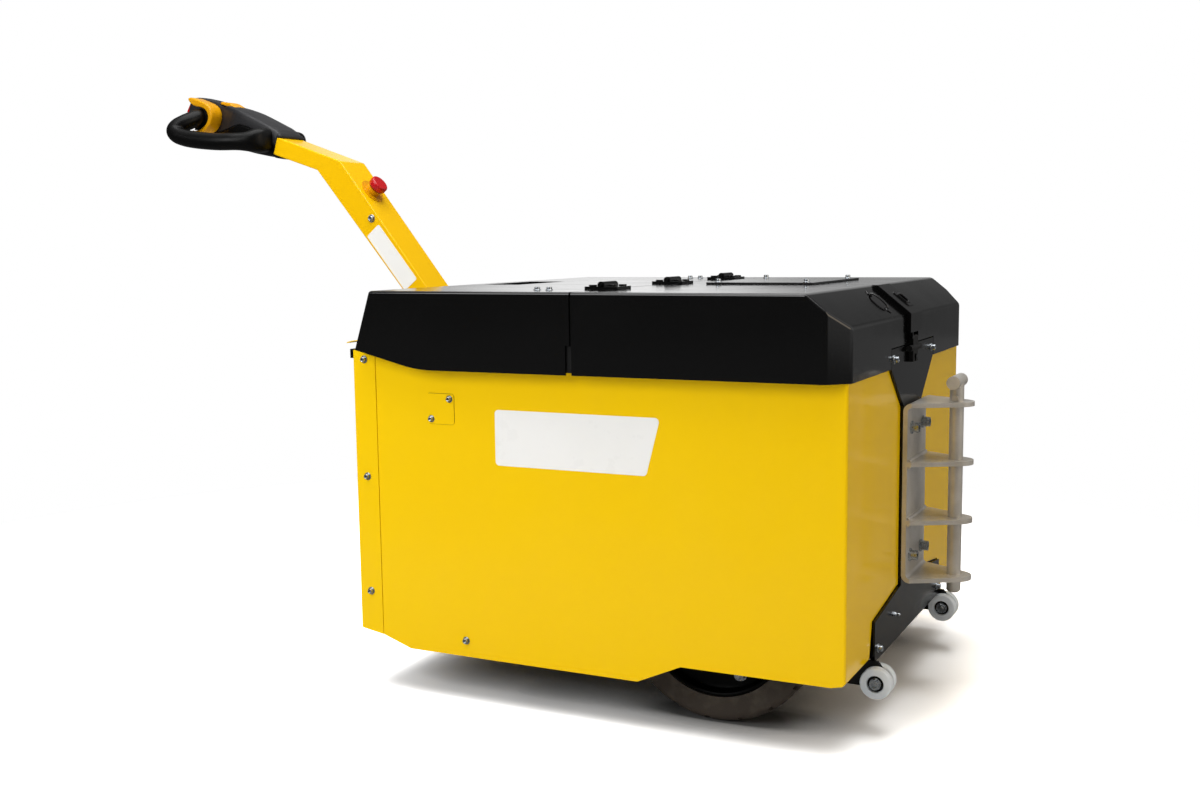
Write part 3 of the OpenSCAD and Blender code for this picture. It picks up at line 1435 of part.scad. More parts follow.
function grip_way(i) =
  i == 0 ? [0, -1, 0] : i == grip_last ? [0, 1, 0] : unit(grip_point(i + 1) - grip_point(i - 1));
function grip_ring(i) = let (
  p = grip_point(i),
  u = unit(cross(grip_way(i), [0, 0, 1])),
  v = cross(u, grip_way(i)))
  [for (j = [0 : grip_sides - 1]) let (turn = j * 360 / grip_sides)
    p + grip_d / 2 * (cos(turn) * u + sin(turn) * v)];
grip_points = [for (i = [0 : grip_last]) each grip_ring(i)];
grip_faces = concat(
  [[for (j = [0 : grip_sides - 1]) grip_sides - 1 - j]],
  [for (i = [0 : grip_last - 1], j = [0 : grip_sides - 1]) let (
    a = i * grip_sides + j, b = i * grip_sides + (j + 1) % grip_sides)
    [a, b, b + grip_sides, a + grip_sides]],
  [[for (j = [0 : grip_sides - 1]) grip_last * grip_sides + j]]);
module hand_grips() color("black") from_front() both_sides() at_head() polyhedron(grip_points, grip_faces);

// Yellow throttle paddles round the grips' inner ends, joined by a rod through the head
paddle_in_r = 22;
paddle_open = 8;
wing_shares = [[-0.17, 0.47], [-0.17, 1], [-0.8, 1.15], [-1.25, 1.02], [-1.15, 0.82], [-0.65, 0.58]];
arm_shares = [[-0.17, -0.47], [-0.17, -0.98], [-0.55, -0.88], [-0.87, -0.62], [-0.6, -0.6]];
lower_arm_w = 24;
sleeve_w = 8;
sleeve_r = 24;
module throttle_paddles()
  color("gold") from_front() {
    both_sides() at_paddle() translate([0, 0, core_half + face_gap]) {
      difference() {
        cylinder(r1 = paddle_r, r2 = paddle_tip_r, h = paddle_w);
        translate([0, 0, -over]) cylinder(r = paddle_in_r, h = paddle_w + 2 * over);
        translate([-2 * paddle_r - paddle_open, -2 * paddle_r, -over])
          cube([2 * paddle_r, 4 * paddle_r, paddle_w + 2 * over]);
      }
      difference() {
        union() {
          linear_extrude(paddle_w) polygon(paddle_r * wing_shares);
          linear_extrude(lower_arm_w) polygon(paddle_tip_r * arm_shares);
        }
        translate([0, 0, -over]) cylinder(r = paddle_in_r, h = paddle_w + 2 * over);
      }
      difference() {
        cylinder(r = sleeve_r, h = sleeve_w);
        translate([0, 0, -over]) cylinder(d = grip_d + 2 * run_gap, h = sleeve_w + 2 * over);
      }
    }
    at_paddle() rotate([0, 0, -arm_up_deg]) translate([rod_r, 0, 0])
      cylinder(d = rod_d, h = 2 * (core_half + paddle_w / 2), center = true);
  }

// Red belly button at the head's end, with rounded edges above and below
belly_round = 5;
module belly_outline_side()
  union() {
    translate([button_x + belly_round, button_low_z])
      square([button_back - belly_round, button_top_z - button_low_z]);
    translate([button_x, button_low_z + belly_round])
      square([button_back, button_top_z - button_low_z - 2 * belly_round]);
    for (z = [button_low_z + belly_round, button_top_z - belly_round])
      translate([button_x + belly_round, z]) circle(r = belly_round);
  }
module belly_button() color("red") from_front() across(2 * button_half_w) belly_outline_side();

// Yellow speed rocker on the head's top
rocker_top_shares = [[-0.5, 0], [0.5, 0], [0.5, 0.032], [0.05, 0.085], [-0.21, 0.085], [-0.5, 0.053]];
module speed_rocker()
  color("gold") from_front() {
    at_head() translate([rocker_s, 0, rocker_low]) across(2 * rocker_half_w)
      polygon(rocker_l * rocker_top_shares);
    rocker_axis() cylinder(r = rocker_rib_r, h = 2 * rocker_half_w, center = true);
    rocker_axis() cylinder(d = rocker_pin_d, h = 2 * (rocker_half_w + rocker_pin_l), center = true);
  }

side_frames();
front_bulkhead();
middle_bulkhead();
rear_bulkhead();
battery_tray();
side_panel_left();
side_panel_right();
rear_panel();
rear_cover();
cover_seal();
instrument_panel();
key_switch();
side_hatches();
front_plate();
hitch_bracket();
hitch_screws();
roller_brackets();
roller_bolts();
drive_subframe();
transaxle();
drive_motor();
castor_mount();
batteries();
battery_links();
motor_controller();
contactor();
charger();
charge_inlet();
panel_screws();
hinge_leaves_cover();
front_lid();
latch_strip();
lid_handle();
lid_plate();
lid_screws();
hinge_leaves_lid();
lid_latch();
drive_tyre_left();
drive_tyre_right();
drive_rim_left();
drive_rim_right();
castor_fork();
castor_wheel();
roller_left_outer();
roller_left_inner();
roller_right_outer();
roller_right_inner();
hitch_pin();
tiller_yoke();
tiller_pivot_pin();
tiller_arm();
arm_screws();
stop_collar();
head_shell();
head_base();
hand_grips();
throttle_paddles();
belly_button();
speed_rocker();
stop_button();
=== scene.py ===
import json
import math

import bmesh
import bpy
from mathutils import Matrix, Vector

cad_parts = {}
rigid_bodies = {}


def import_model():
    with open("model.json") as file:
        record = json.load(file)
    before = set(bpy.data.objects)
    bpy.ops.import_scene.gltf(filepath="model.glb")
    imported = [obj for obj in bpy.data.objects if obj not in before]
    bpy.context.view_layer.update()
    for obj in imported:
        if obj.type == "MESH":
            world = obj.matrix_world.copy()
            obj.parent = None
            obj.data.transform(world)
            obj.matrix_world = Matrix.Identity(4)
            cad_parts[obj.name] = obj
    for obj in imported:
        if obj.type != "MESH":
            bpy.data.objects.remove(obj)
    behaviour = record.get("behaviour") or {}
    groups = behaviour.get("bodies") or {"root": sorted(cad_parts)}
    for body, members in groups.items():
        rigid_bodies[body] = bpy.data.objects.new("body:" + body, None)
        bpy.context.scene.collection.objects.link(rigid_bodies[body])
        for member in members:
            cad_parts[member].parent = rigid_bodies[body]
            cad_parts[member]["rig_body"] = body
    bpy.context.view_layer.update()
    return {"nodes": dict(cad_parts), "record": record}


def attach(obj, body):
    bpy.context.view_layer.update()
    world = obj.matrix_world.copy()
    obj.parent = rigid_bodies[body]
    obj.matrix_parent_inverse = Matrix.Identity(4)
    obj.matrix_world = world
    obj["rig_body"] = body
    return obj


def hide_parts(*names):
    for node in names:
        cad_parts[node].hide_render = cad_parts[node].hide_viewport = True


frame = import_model()
nodes = frame["nodes"]

# Frame
# Lengths below are in millimetres from the lid's front face (X), the middle
# plane (Y) and the ground (Z); the row frame's origin is half way along.
MIDDLE = -788.1425
MM = 0.001


def at(x, y, z):
    """A place given in millimetres, in the frame's metres."""
    return Vector(((x - MIDDLE) * MM, y * MM, z * MM))


# Upper arm's line: places on the head are along it and above it
ARM_LOW, ARM_UP = math.radians(51), math.radians(18.5)
PIVOT = (-877.0, 525.0)
LOW_L, UP_L, REACH = 613.5, 151.0, 280.0
BEND = (PIVOT[0] - LOW_L * math.cos(ARM_LOW), PIVOT[1] + LOW_L * math.sin(ARM_LOW))
HEAD = (BEND[0] - UP_L * math.cos(ARM_UP), BEND[1] + UP_L * math.sin(ARM_UP))


def on_head(s, y, n):
    """A place s along the head, y across it and n above its line."""
    c, d = math.cos(ARM_UP), math.sin(ARM_UP)
    return at(HEAD[0] - s * c + n * d, y, HEAD[1] + s * d + n * c)


# Camera
camera = bpy.data.objects.new("camera", bpy.data.cameras.new("camera"))
bpy.context.scene.collection.objects.link(camera)
YAW, PITCH, ROLL = math.radians(26.34), math.radians(6.73), math.radians(-0.70)
CAMERA_AT, LENS, SENSOR = (1.3515, -2.4201, 0.8305), 40.19, 36
forward = Vector((-math.sin(YAW) * math.cos(PITCH), math.cos(YAW) * math.cos(PITCH), -math.sin(PITCH)))
level = Vector((math.cos(YAW), math.sin(YAW), 0))
upright = level.cross(forward)
right = level * math.cos(ROLL) + upright * math.sin(ROLL)
up = -level * math.sin(ROLL) + upright * math.cos(ROLL)
turn = Matrix((right, up, -forward)).transposed().to_4x4()
camera.matrix_world = Matrix.Translation(CAMERA_AT) @ turn
camera.data.lens = LENS
camera.data.sensor_width = SENSOR
camera.data.clip_start, camera.data.clip_end = 0.05, 100
bpy.context.scene.camera = camera


# Materials
def linear(text):
    """A six-figure sRGB colour as linear RGBA."""
    parts = [int(text[i:i + 2], 16) / 255 for i in (0, 2, 4)]
    return tuple(c / 12.92 if c <= 0.04045 else ((c + 0.055) / 1.055) ** 2.4 for c in parts) + (1,)


class Mat:
    """A node material: a Principled shader with noise in its colour, roughness and bump."""

    def __init__(self, name, colour, rough=0.5, metallic=0.0):
        self.material = bpy.data.materials.new(name)
        self.material.use_nodes = True
        self.tree = self.material.node_tree
        self.shader = self.tree.nodes["Principled BSDF"]
        self.coord = self.tree.nodes.new("ShaderNodeTexCoord").outputs["Object"]
        self.colour = self.normal = None
        self.set("Base Color", linear(colour))
        self.base = linear(colour)
        self.set("Roughness", rough)
        self.set("Metallic", metallic)

    def set(self, socket, value):
        self.shader.inputs[socket].default_value = value

    def node(self, kind, **values):
        n = self.tree.nodes.new(kind)
        for key, value in values.items():
            if hasattr(n, key):
                setattr(n, key, value)
            else:
                n.inputs[key.replace("_", " ")].default_value = value
        return n

    def link(self, a, b):
        self.tree.links.new(a, b)

    def stretched(self, scale):
        """The object's coordinates, scaled by axis."""
        n = self.node("ShaderNodeMapping")
        n.inputs["Scale"].default_value = scale
        self.link(self.coord, n.inputs["Vector"])
        return n.outputs["Vector"]

    def noise(self, scale, detail=3.0, rough=0.55, stretch=None):
        n = self.node("ShaderNodeTexNoise", Scale=scale, Detail=detail, Roughness=rough)
        self.link(self.stretched(stretch) if stretch else self.coord, n.inputs["Vector"])
        return n.outputs["Fac"]

    def cells(self, scale):
        n = self.node("ShaderNodeTexVoronoi", Scale=scale)
        self.link(self.coord, n.inputs["Vector"])
        return n.outputs["Distance"]

    def span(self, fac, low, high, to_low=0.0, to_high=1.0):
        """Maps fac from between low and high to between to_low and to_high."""
        n = self.node("ShaderNodeMapRange")
        for i, v in enumerate((low, high, to_low, to_high), 1):
            n.inputs[i].default_value = v
        self.link(fac, n.inputs[0])
        return n.outputs[0]

    def tint(self, fac, colour, most=1.0):
        """Mixes a colour over what is there by fac times most."""
        n = self.tree.nodes.new("ShaderNodeMix")
        n.data_type = "RGBA"
        if most != 1.0:
            fac = self.span(fac, 0, 1, 0, most)
        self.link(fac, n.inputs["Factor"])
        if self.colour is None:
            n.inputs[6].default_value = self.base
        else:
            self.link(self.colour, n.inputs[6])
        n.inputs[7].default_value = linear(colour)
        self.colour = n.outputs[2]
        self.link(self.colour, self.shader.inputs["Base Color"])
        return self

    def rough(self, fac, low, high):
        """Lets the roughness run from low to high with fac."""
        self.link(self.span(fac, 0.25, 0.75, low, high), self.shader.inputs["Roughness"])
        return self

    def bump(self, fac, depth):
        """Adds relief from fac, depth metres deep."""
        n = self.node("ShaderNodeBump", Distance=depth)
        self.link(fac, n.inputs["Height"])
        if self.normal is not None:
            self.link(self.normal, n.inputs["Normal"])
        self.normal = n.outputs["Normal"]
        self.link(self.normal, self.shader.inputs["Normal"])
        return self


def paint(name, colour, dark, light, rough=0.12, level=0.35):
    """Sprayed gloss paint: faint mottling, fine specks and an orange-peel surface."""
    m = Mat(name, colour, rough)
    m.set("Specular IOR Level", level)
    m.tint(m.span(m.noise(2.2, 2), 0.35, 0.65), dark, 0.3)
    m.tint(m.span(m.noise(900, 2), 0.62, 0.8), light, 0.2)
    m.rough(m.noise(14, 4), rough - 0.03, rough + 0.04)
    m.bump(m.noise(240, 2), 0.00005)
    return m.material


def plastic(name, colour, dark, rough, grain=1400, depth=0.00005, level=0.25, dust=0.0):
    """Moulded plastic: a fine leather grain, uneven sheen and, where asked, patches of dust."""
    m = Mat(name, colour, rough)
    m.set("Specular IOR Level", level)
    m.tint(m.span(m.noise(9, 3), 0.35, 0.7), dark, 0.5)
    if dust:
        m.tint(m.span(m.noise(34, 5), 0.5, 0.8), "6B6459", dust)
    m.rough(m.noise(30, 3), rough - 0.06, rough + 0.08)
    m.bump(m.cells(grain), depth)
    m.bump(m.noise(grain / 2, 2), depth)
    return m.material


def metal(name, colour, dark, rough, stretch=(1, 1, 1), scale=300, depth=0.00004, metallic=1.0):
    """Bare or plated metal: cloudy patches and fine marks along the way that it was worked."""
    m = Mat(name, colour, rough, metallic)
    m.tint(m.span(m.noise(18, 5), 0.35, 0.7), dark, 0.6)
    m.tint(m.span(m.noise(scale, 4, 0.6, stretch), 0.45, 0.75), dark, 0.4)
    m.rough(m.noise(scale / 3, 4, 0.6, stretch), rough - 0.08, rough + 0.14)
    m.bump(m.noise(scale, 3, 0.6, stretch), depth)
    return m.material


def gloss(name, colour, rough=0.1):
    """Gloss sheet plastic: slow waves from its forming, faint wiping marks and a few dust specks."""
    m = Mat(name, colour, rough)
    m.tint(m.span(m.noise(700, 3), 0.66, 0.8), "3A3A3A", 0.12)
    m.rough(m.noise(7, 5, 0.65, (1, 2.2, 1)), rough - 0.03, rough + 0.07)
    m.bump(m.noise(5, 1), 0.0006)
    m.bump(m.noise(320, 2), 0.00002)
    return m.material


YELLOW = paint("yellow_paint", "FBCE04", "F8C602", "FFDA30", 0.1, 0.3)
ARM_YELLOW = paint("arm_yellow", "F6C206", "F2BA04", "FFD640", 0.2, 0.14)
BLACK = paint("black_paint", "050505", "020202", "101010", 0.16, 0.25)
FRAME_STEEL = paint("chassis_steel", "161616", "0B0B0B", "2A2A2A", 0.45)
GLOSS_BLACK = gloss("black_gloss_plastic", "040404")
BLACK_PLASTIC = plastic("black_plastic", "070707", "030303", 0.32, level=0.14)
GREY_PLASTIC = plastic("grey_plastic", "1B1B1E", "151518", 0.5, level=0.35)
YELLOW_PLASTIC = plastic("yellow_plastic", "E3A206", "D69500", 0.25, 2000, 0.00002)
RED_PLASTIC = plastic("red_plastic", "C4121A", "96090E", 0.25, 2000, 0.00002, 0.4)
RUBBER = plastic("black_rubber", "101010", "1C1B1A", 0.6, 900, 0.00006, 0.2)
TYRE = plastic("tyre_rubber", "453D35", "2E2822", 0.7, 500, 0.0002, 0.3, 0.4)
STEEL = metal("bare_steel", "D9D5CE", "A8A49B", 0.34, (1, 1, 12), metallic=0.5)
ZINC = metal("zinc_steel", "C6CCD2", "8D9399", 0.25, scale=900)
ALUMINIUM = metal("cast_aluminium", "A6A8AA", "7C7E80", 0.5, scale=700, depth=0.0002)
BATTERY = plastic("battery_case", "23262B", "15171A", 0.5, 800, 0.0001)
COPPER = metal("copper_bar", "D9814F", "8C4A28", 0.3, scale=500)
NYLON = plastic("white_nylon", "E9F0F6", "DAE2EA", 0.3, 1500, 0.00003, 0.4)
RIM_BLACK = paint("rim_black", "040404", "020202", "0A0A0A", 0.45, 0.12)
HANDLE_GLOSS = plastic("handle_gloss", "0A0A0A", "040404", 0.14, 1800, 0.00001, 0.5)
LABEL = plastic("label_white", "F6F6F4", "F2F2EF", 0.3, 2400, 0.00001)

SLOTS = {
    "yellow_paint": YELLOW, "black_paint": BLACK, "chassis_steel": FRAME_STEEL,
    "black_gloss_plastic": GLOSS_BLACK, "black_plastic": BLACK_PLASTIC, "grey_plastic": GREY_PLASTIC,
    "yellow_plastic": YELLOW_PLASTIC, "red_plastic": RED_PLASTIC, "black_rubber": RUBBER,
    "tyre_rubber": TYRE, "bare_steel": STEEL, "zinc_steel": ZINC, "cast_aluminium": ALUMINIUM,
    "battery_case": BATTERY, "copper_bar": COPPER, "white_nylon": NYLON}


def dress(obj, material):
    """Gives an object one material."""
    obj.data.materials.clear()
    obj.data.materials.append(material)


node_slot = {p["node"]: p["material_slot"] for p in frame["record"]["subparts"]}
for name, obj in nodes.items():
    dress(obj, SLOTS[node_slot[name]])


# Mesh tools
# Edges sharper than this are shaded crisp; a moulded piece has none
CRISP, NEVER = math.radians(32), math.radians(180)
# A node's points nearer than this are one (metres), and its faces flatter than this are one
SAME_PLACE, SAME_FACE = 2e-6, math.radians(0.5)


def turns(count):
    """The angles of a whole turn in count steps."""
    return [2 * math.pi * k / count for k in range(count)]


def add(name, bm, body, slot, *stands_for, material=None, crisp=CRISP):
    """Makes a piece of bm: it rides on body, takes its finish from slot and stands for the named nodes."""
    bmesh.ops.recalc_face_normals(bm, faces=bm.faces)
    for f in bm.faces:
        f.smooth = True
    for e in bm.edges:
        e.smooth = len(e.link_faces) != 2 or e.calc_face_angle(0) < crisp
    mesh = bpy.data.meshes.new(name)
    bm.to_mesh(mesh)
    bm.free()
    obj = bpy.data.objects.new(name, mesh)
    bpy.context.scene.collection.objects.link(obj)
    dress(obj, material or SLOTS[slot])
    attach(obj, body)
    if stands_for:
        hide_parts(*stands_for)
    shade = obj.modifiers.new("shade", "WEIGHTED_NORMAL")
    shade.keep_sharp = True


def from_node(node):
    """A copy of a CAD node's mesh, with its flat faces whole."""
    bm = bmesh.new()
    bm.from_mesh(nodes[node].data)
    bmesh.ops.remove_doubles(bm, verts=bm.verts, dist=SAME_PLACE)
    bmesh.ops.dissolve_limit(bm, angle_limit=SAME_FACE, verts=bm.verts, edges=bm.edges)
    return bm


def width_of(face):
    """About how wide a face is, from its area and its rim."""
    return 2 * face.calc_area() / max(face.calc_perimeter(), 1e-9)


# An edge is rounded if its faces are this many times as wide as the rounding, and it this many times as long
WIDE_ENOUGH, LONG_ENOUGH, SHARP = 3.0, 2.0, math.radians(25)


def soften(bm, width, segments, only=None, clamp=True):
    """Rounds the sharp edges between faces that are wide enough for it."""
    picked = [
        e for e in bm.edges
        if len(e.link_faces) == 2 and e.calc_face_angle(0) > SHARP
        and e.calc_length() > LONG_ENOUGH * width * MM
        and min(width_of(f) for f in e.link_faces) > WIDE_ENOUGH * width * MM
        and (only is None or only(e))]
    bmesh.ops.bevel(
        bm, geom=picked, offset=width * MM, offset_type="OFFSET", segments=segments,
        profile=0.5, affect="EDGES", clamp_overlap=clamp)


def softened(node, width, segments, material=None, only=None, clamp=True):
    """A CAD node's shape with its edges rounded."""
    bm = from_node(node)
    soften(bm, width, segments, only=only, clamp=clamp)
    add(node + "_rounded", bm, nodes[node]["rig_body"], node_slot[node], node, material=material)


def loft(bm, rings, closed=False):
    """Skins rings of points, each a closed loop; closed joins the last ring to the first."""
    loops = [[bm.verts.new(p) for p in ring] for ring in rings]
    count = len(rings[0])
    pairs = list(zip(loops, loops[1:])) + ([(loops[-1], loops[0])] if closed else [])
    for a, b in pairs:
        for i in range(count):
            bm.faces.new((a[i], a[(i + 1) % count], b[(i + 1) % count], b[i]))
    if not closed:
        bm.faces.new(loops[0][::-1])
        bm.faces.new(loops[-1])
    return bm


def lathe(bm, place, axis, profile, sides=64, hexed=()):
    """Turns a closed (radius, along) profile round an axis through place; radius 0 closes an end.

    The points of the profile in hexed run round a hexagon instead of a circle.
    """
    axis = Vector(axis).normalized()
    across = axis.orthogonal().normalized()
    third = axis.cross(across)
    columns = []
    poles = {}
    for a in turns(sides):
        out = across * math.cos(a) + third * math.sin(a)
        column = []
        for i, (r, s) in enumerate(profile):
            if i in hexed:
                r *= math.cos(math.pi / 6) / math.cos(a % (math.pi / 3) - math.pi / 6)
            if r == 0:
                if i not in poles:
                    poles[i] = bm.verts.new(place + axis * s * MM)
                column.append(poles[i])
            else:
                column.append(bm.verts.new(place + out * r * MM + axis * s * MM))
        columns.append(column)
    for k in range(sides):
        a, b = columns[k], columns[(k + 1) % sides]
        for i in range(len(profile)):
            j = (i + 1) % len(profile)
            corners = []
            for v in (a[i], b[i], b[j], a[j]):
                if v not in corners:
                    corners.append(v)
            if len(corners) > 2:
                bm.faces.new(corners)
    return bm


def prism(bm, outline, low, high):
    """A prism of an (x, z) outline from y low to high."""
    return loft(bm, [[at(x, y, z) for x, z in outline] for y in (low, high)])


def rectangle(x0, x1, z0, z1):
    return [(x0, z0), (x1, z0), (x1, z1), (x0, z1)]


def rounded(points, radius):
    """A flat outline with its corners rounded, in four steps each."""
    made = []
    steps = 4
    for i, corner in enumerate(points):
        p = Vector(corner)
        back = (Vector(points[i - 1]) - p).normalized()
        on = (Vector(points[(i + 1) % len(points)]) - p).normalized()
        half = back.angle(on) / 2
        middle = p + (back + on).normalized() * radius / math.sin(half)
        first, last = p + back * radius / math.tan(half), p + on * radius / math.tan(half)
        for k in range(steps + 1):
            made.append(middle + (first.lerp(last, k / steps) - middle).normalized() * radius)
    return made


def solids_of(node):
    """The separate solids of a node, each as its lowest and highest corner."""
    bm = from_node(node)
    left = {v.index: v for v in bm.verts}
    boxes = []
    while left:
        grown = [left.pop(next(iter(left)))]
        for v in grown:
            for e in v.link_edges:
                other = e.other_vert(v)
                if other.index in left:
                    grown.append(left.pop(other.index))
        boxes.append([Vector([pick(v.co[i] for v in grown) for i in range(3)]) for pick in (min, max)])
    bm.free()
    return boxes


def baked(obj):
    """The mesh of a scratch object with its modifiers applied; the object is removed."""
    graph = bpy.context.evaluated_depsgraph_get()
    mesh = bpy.data.meshes.new_from_object(obj.evaluated_get(graph))
    bpy.data.objects.remove(obj)
    bm = bmesh.new()
    bm.from_mesh(mesh)
    bpy.data.meshes.remove(mesh)
    return bm


def scratch(bm):
    """A passing object for modifiers to work on."""
    mesh = bpy.data.meshes.new("scratch")
    bmesh.ops.recalc_face_normals(bm, faces=bm.faces)
    bm.to_mesh(mesh)
    bm.free()
    obj = bpy.data.objects.new("scratch", mesh)
    bpy.context.scene.collection.objects.link(obj)
    return obj


def fused(bm, voxel, rounds, cutters=()):
    """Joins overlapping closed solids into one skin, cuts it, and rounds its edges a little."""
    obj = scratch(bm)
    first = obj.modifiers.new("join", "REMESH")
    first.mode, first.voxel_size = "VOXEL", voxel * MM
    holders = []
    for cutter in cutters:
        holder = scratch(cutter)
        holders.append(holder)
        cut = obj.modifiers.new("cut", "BOOLEAN")
        cut.operation, cut.solver, cut.object = "DIFFERENCE", "EXACT", holder
    if cutters:
        again = obj.modifiers.new("skin", "REMESH")
        again.mode, again.voxel_size = "VOXEL", voxel * MM
    even = obj.modifiers.new("even", "SMOOTH")
    even.factor, even.iterations = 0.5, rounds
    made = baked(obj)
    for holder in holders:
        bpy.data.objects.remove(holder)
    return made


def spline(points, steps):
    """A smooth line through points, with steps to each span; the first and last only steer it."""
    line = []
    for a, b, c, d in zip(points, points[1:], points[2:], points[3:]):
        for i in range(steps):
            t = i / steps
            line.append(0.5 * (2 * b + t * (c - a) + t * t * (2 * a - 5 * b + 4 * c - d)
                               + t * t * t * (3 * b - a - 3 * c + d)))
    line.append(points[-2])
    return line


def closed_spline(points, steps):
    """A smooth closed line through points."""
    ends = [points[-1]] + points + points[:2]
    return spline(ends, steps)[:-1]


def heading(line, i):
    """The direction of a line of points at point i."""
    return (line[min(i + 1, len(line) - 1)] - line[max(i - 1, 0)]).normalized()


def shrunk(loop, inset):
    """A loop in the plane of x and z drawn in by inset, for the rounded rim of a prism."""
    if not inset:
        return loop
    count = len(loop)
    area = sum(a.x * b.z - b.x * a.z for a, b in zip(loop, loop[1:] + loop[:1]))
    turn = math.copysign(inset, area)
    made = []
    for i, p in enumerate(loop):
        way = (loop[(i + 1) % count] - loop[i - 1]).normalized()
        made.append(p + Vector((-way.z, 0, way.x)) * turn)
    return made


# Covers and body: the sheet that shows is rounded, and the lid's and cover's inner rims stay as they are
PANEL_HALF, HATCH_LIFT, COVER_TOP, PLATE_T, ARM_HALF = 409, 1.2, 748, 4, 42
LOOKS_DOWN = -0.3


def covers(e):
    """An edge on a cover's outside: no face beside it looks down."""
    return all(f.normal.z > LOOKS_DOWN for f in e.link_faces)


softened("front_lid", 5, 4, only=covers)
softened("rear_cover", 5, 4, only=covers)
softened("rear_panel", 0.8, 2)

# Side panels: the photo's front corners are folded tighter than the sheet's bend in the frame
FOLD_X, BEND_R, TIGHT_R = -5, 12, 4.5
for node in ("side_panel_left", "side_panel_right"):
    bm = from_node(node)
    for v in bm.verts:
        side = math.copysign(1, v.co.y)
        out = Vector((v.co.x - at(FOLD_X - BEND_R, 0, 0).x, abs(v.co.y) - (PANEL_HALF - BEND_R) * MM)) / MM
        in_bend = min(out) > -0.01 and out.length > BEND_R / 2
        if in_bend:
            out *= 1 - (BEND_R - TIGHT_R) / out.length
            v.co.x = at(FOLD_X - TIGHT_R, 0, 0).x + out.x * MM
            v.co.y = side * (PANEL_HALF - TIGHT_R + out.y) * MM
    soften(bm, 0.8, 2)
    add(node + "_folded", bm, "chassis", "yellow_paint", node)

# Front plate, arm, hitch, latch, hinges, batteries and hatches
softened("front_plate", 1.2, 2)
softened("tiller_arm", 3, 4, clamp=False, material=ARM_YELLOW)
for node, width, segments in (
        ("hitch_bracket", 1, 2), ("lid_latch", 1.5, 3), ("lid_plate", 0.8, 2), ("hinge_leaves_lid", 0.8, 2),
        ("hinge_leaves_cover", 0.8, 2), ("hitch_pin", 1.2, 2), ("instrument_panel", 0.6, 2),
        ("batteries", 4, 3), ("side_hatches", 0.4, 2)):
    softened(node, width, segments)

# Screws: a socket head on its washer, stood on the seat of each screw of a node
# Each kind has its washer's and head's diameters, the head's height, the washer's thickness and the hexagon
SCREWS = {
    "cover": (13.5, 9.6, 4.4, 1.2, 5.6), "hatch": (13, 9, 4.6, 1.2, 5.4), "panel": (14.4, 9.8, 5.4, 1.4, 5.8),
    "front": (15.5, 11, 6.6, 1.8, 5.8), "lid": (13.5, 9.8, 5, 1.2, 5.6), "arm": (17, 12.5, 4.4, 1.6, 7)}
# A CAD solid with a side under this is a hatch screw, or the grease nipple on the foot of the front plate;
# a cover's screw reaches no further down than this, and a panel's screw is this share of the way out
SMALL_SIDE, SCREW_DEPTH, FAR_OUT = 9, 20, 0.9
NIPPLE = [
    (0, 0), (4.6, 0), (4.6, 3), (3.9, 3.6), (2.5, 4), (2.2, 6), (3.1, 7), (3.4, 8.6), (2.8, 10.2),
    (1.4, 11.2), (0, 11.4)]


def screw(bm, seat, axis, kind):
    """A washer and a socket head with rounded rims, on seat and along axis."""
    washer, head, rise, thick, hexagon = SCREWS[kind]
    w, h, x, top = washer / 2, head / 2, hexagon / 2, thick + rise
    lathe(bm, seat, axis, [(0, 0), (w, 0), (w, thick - 0.4), (w - 0.4, thick), (0, thick)], 40)
    lathe(bm, seat, axis, [
        (0, thick), (h, thick), (h, top - 1), (h - 0.4, top - 0.3), (h - 1, top), (x + 0.5, top),
        (x, top - 0.4), (x, top - 3), (0, top - 3)], 48, hexed=(6, 7))


def on_top(bm, middle, z, kind):
    """A screw that stands on a level face at height z."""
    screw(bm, Vector((middle.x, middle.y, z * MM)), (0, 0, 1), kind)


def on_side(bm, middle, y, kind):
    """A screw that stands on the face y from the middle, on its own side."""
    side = math.copysign(1, middle.y)
    screw(bm, Vector((middle.x, side * y * MM, middle.z)), (0, side, 0), kind)


bm = bmesh.new()
for low, high in solids_of("panel_screws"):
    middle, size = (low + high) / 2, (high - low) / MM
    front = Vector((at(0, 0, 0).x, middle.y, middle.z))
    if low.z > (COVER_TOP - SCREW_DEPTH) * MM:
        on_top(bm, middle, COVER_TOP, "cover")
    elif size.x < SMALL_SIDE:
        on_side(bm, middle, PANEL_HALF + HATCH_LIFT, "hatch")
    elif abs(middle.y) > FAR_OUT * PANEL_HALF * MM:
        on_side(bm, middle, PANEL_HALF, "panel")
    elif size.y < SMALL_SIDE:
        lathe(bm, front, (1, 0, 0), NIPPLE, 36, hexed=(1, 2))
    else:
        screw(bm, front, (1, 0, 0), "front")
add("panel_screws_detailed", bm, "chassis", "zinc_steel", "panel_screws")

bm = bmesh.new()
for low, high in solids_of("lid_screws"):
    on_top(bm, (low + high) / 2, COVER_TOP + PLATE_T, "lid")
add("lid_screws_detailed", bm, "lid", "zinc_steel", "lid_screws")

bm = bmesh.new()
for low, high in solids_of("arm_screws"):
    on_side(bm, (low + high) / 2, ARM_HALF, "arm")
add("arm_screws_detailed", bm, "tiller", "zinc_steel", "arm_screws")
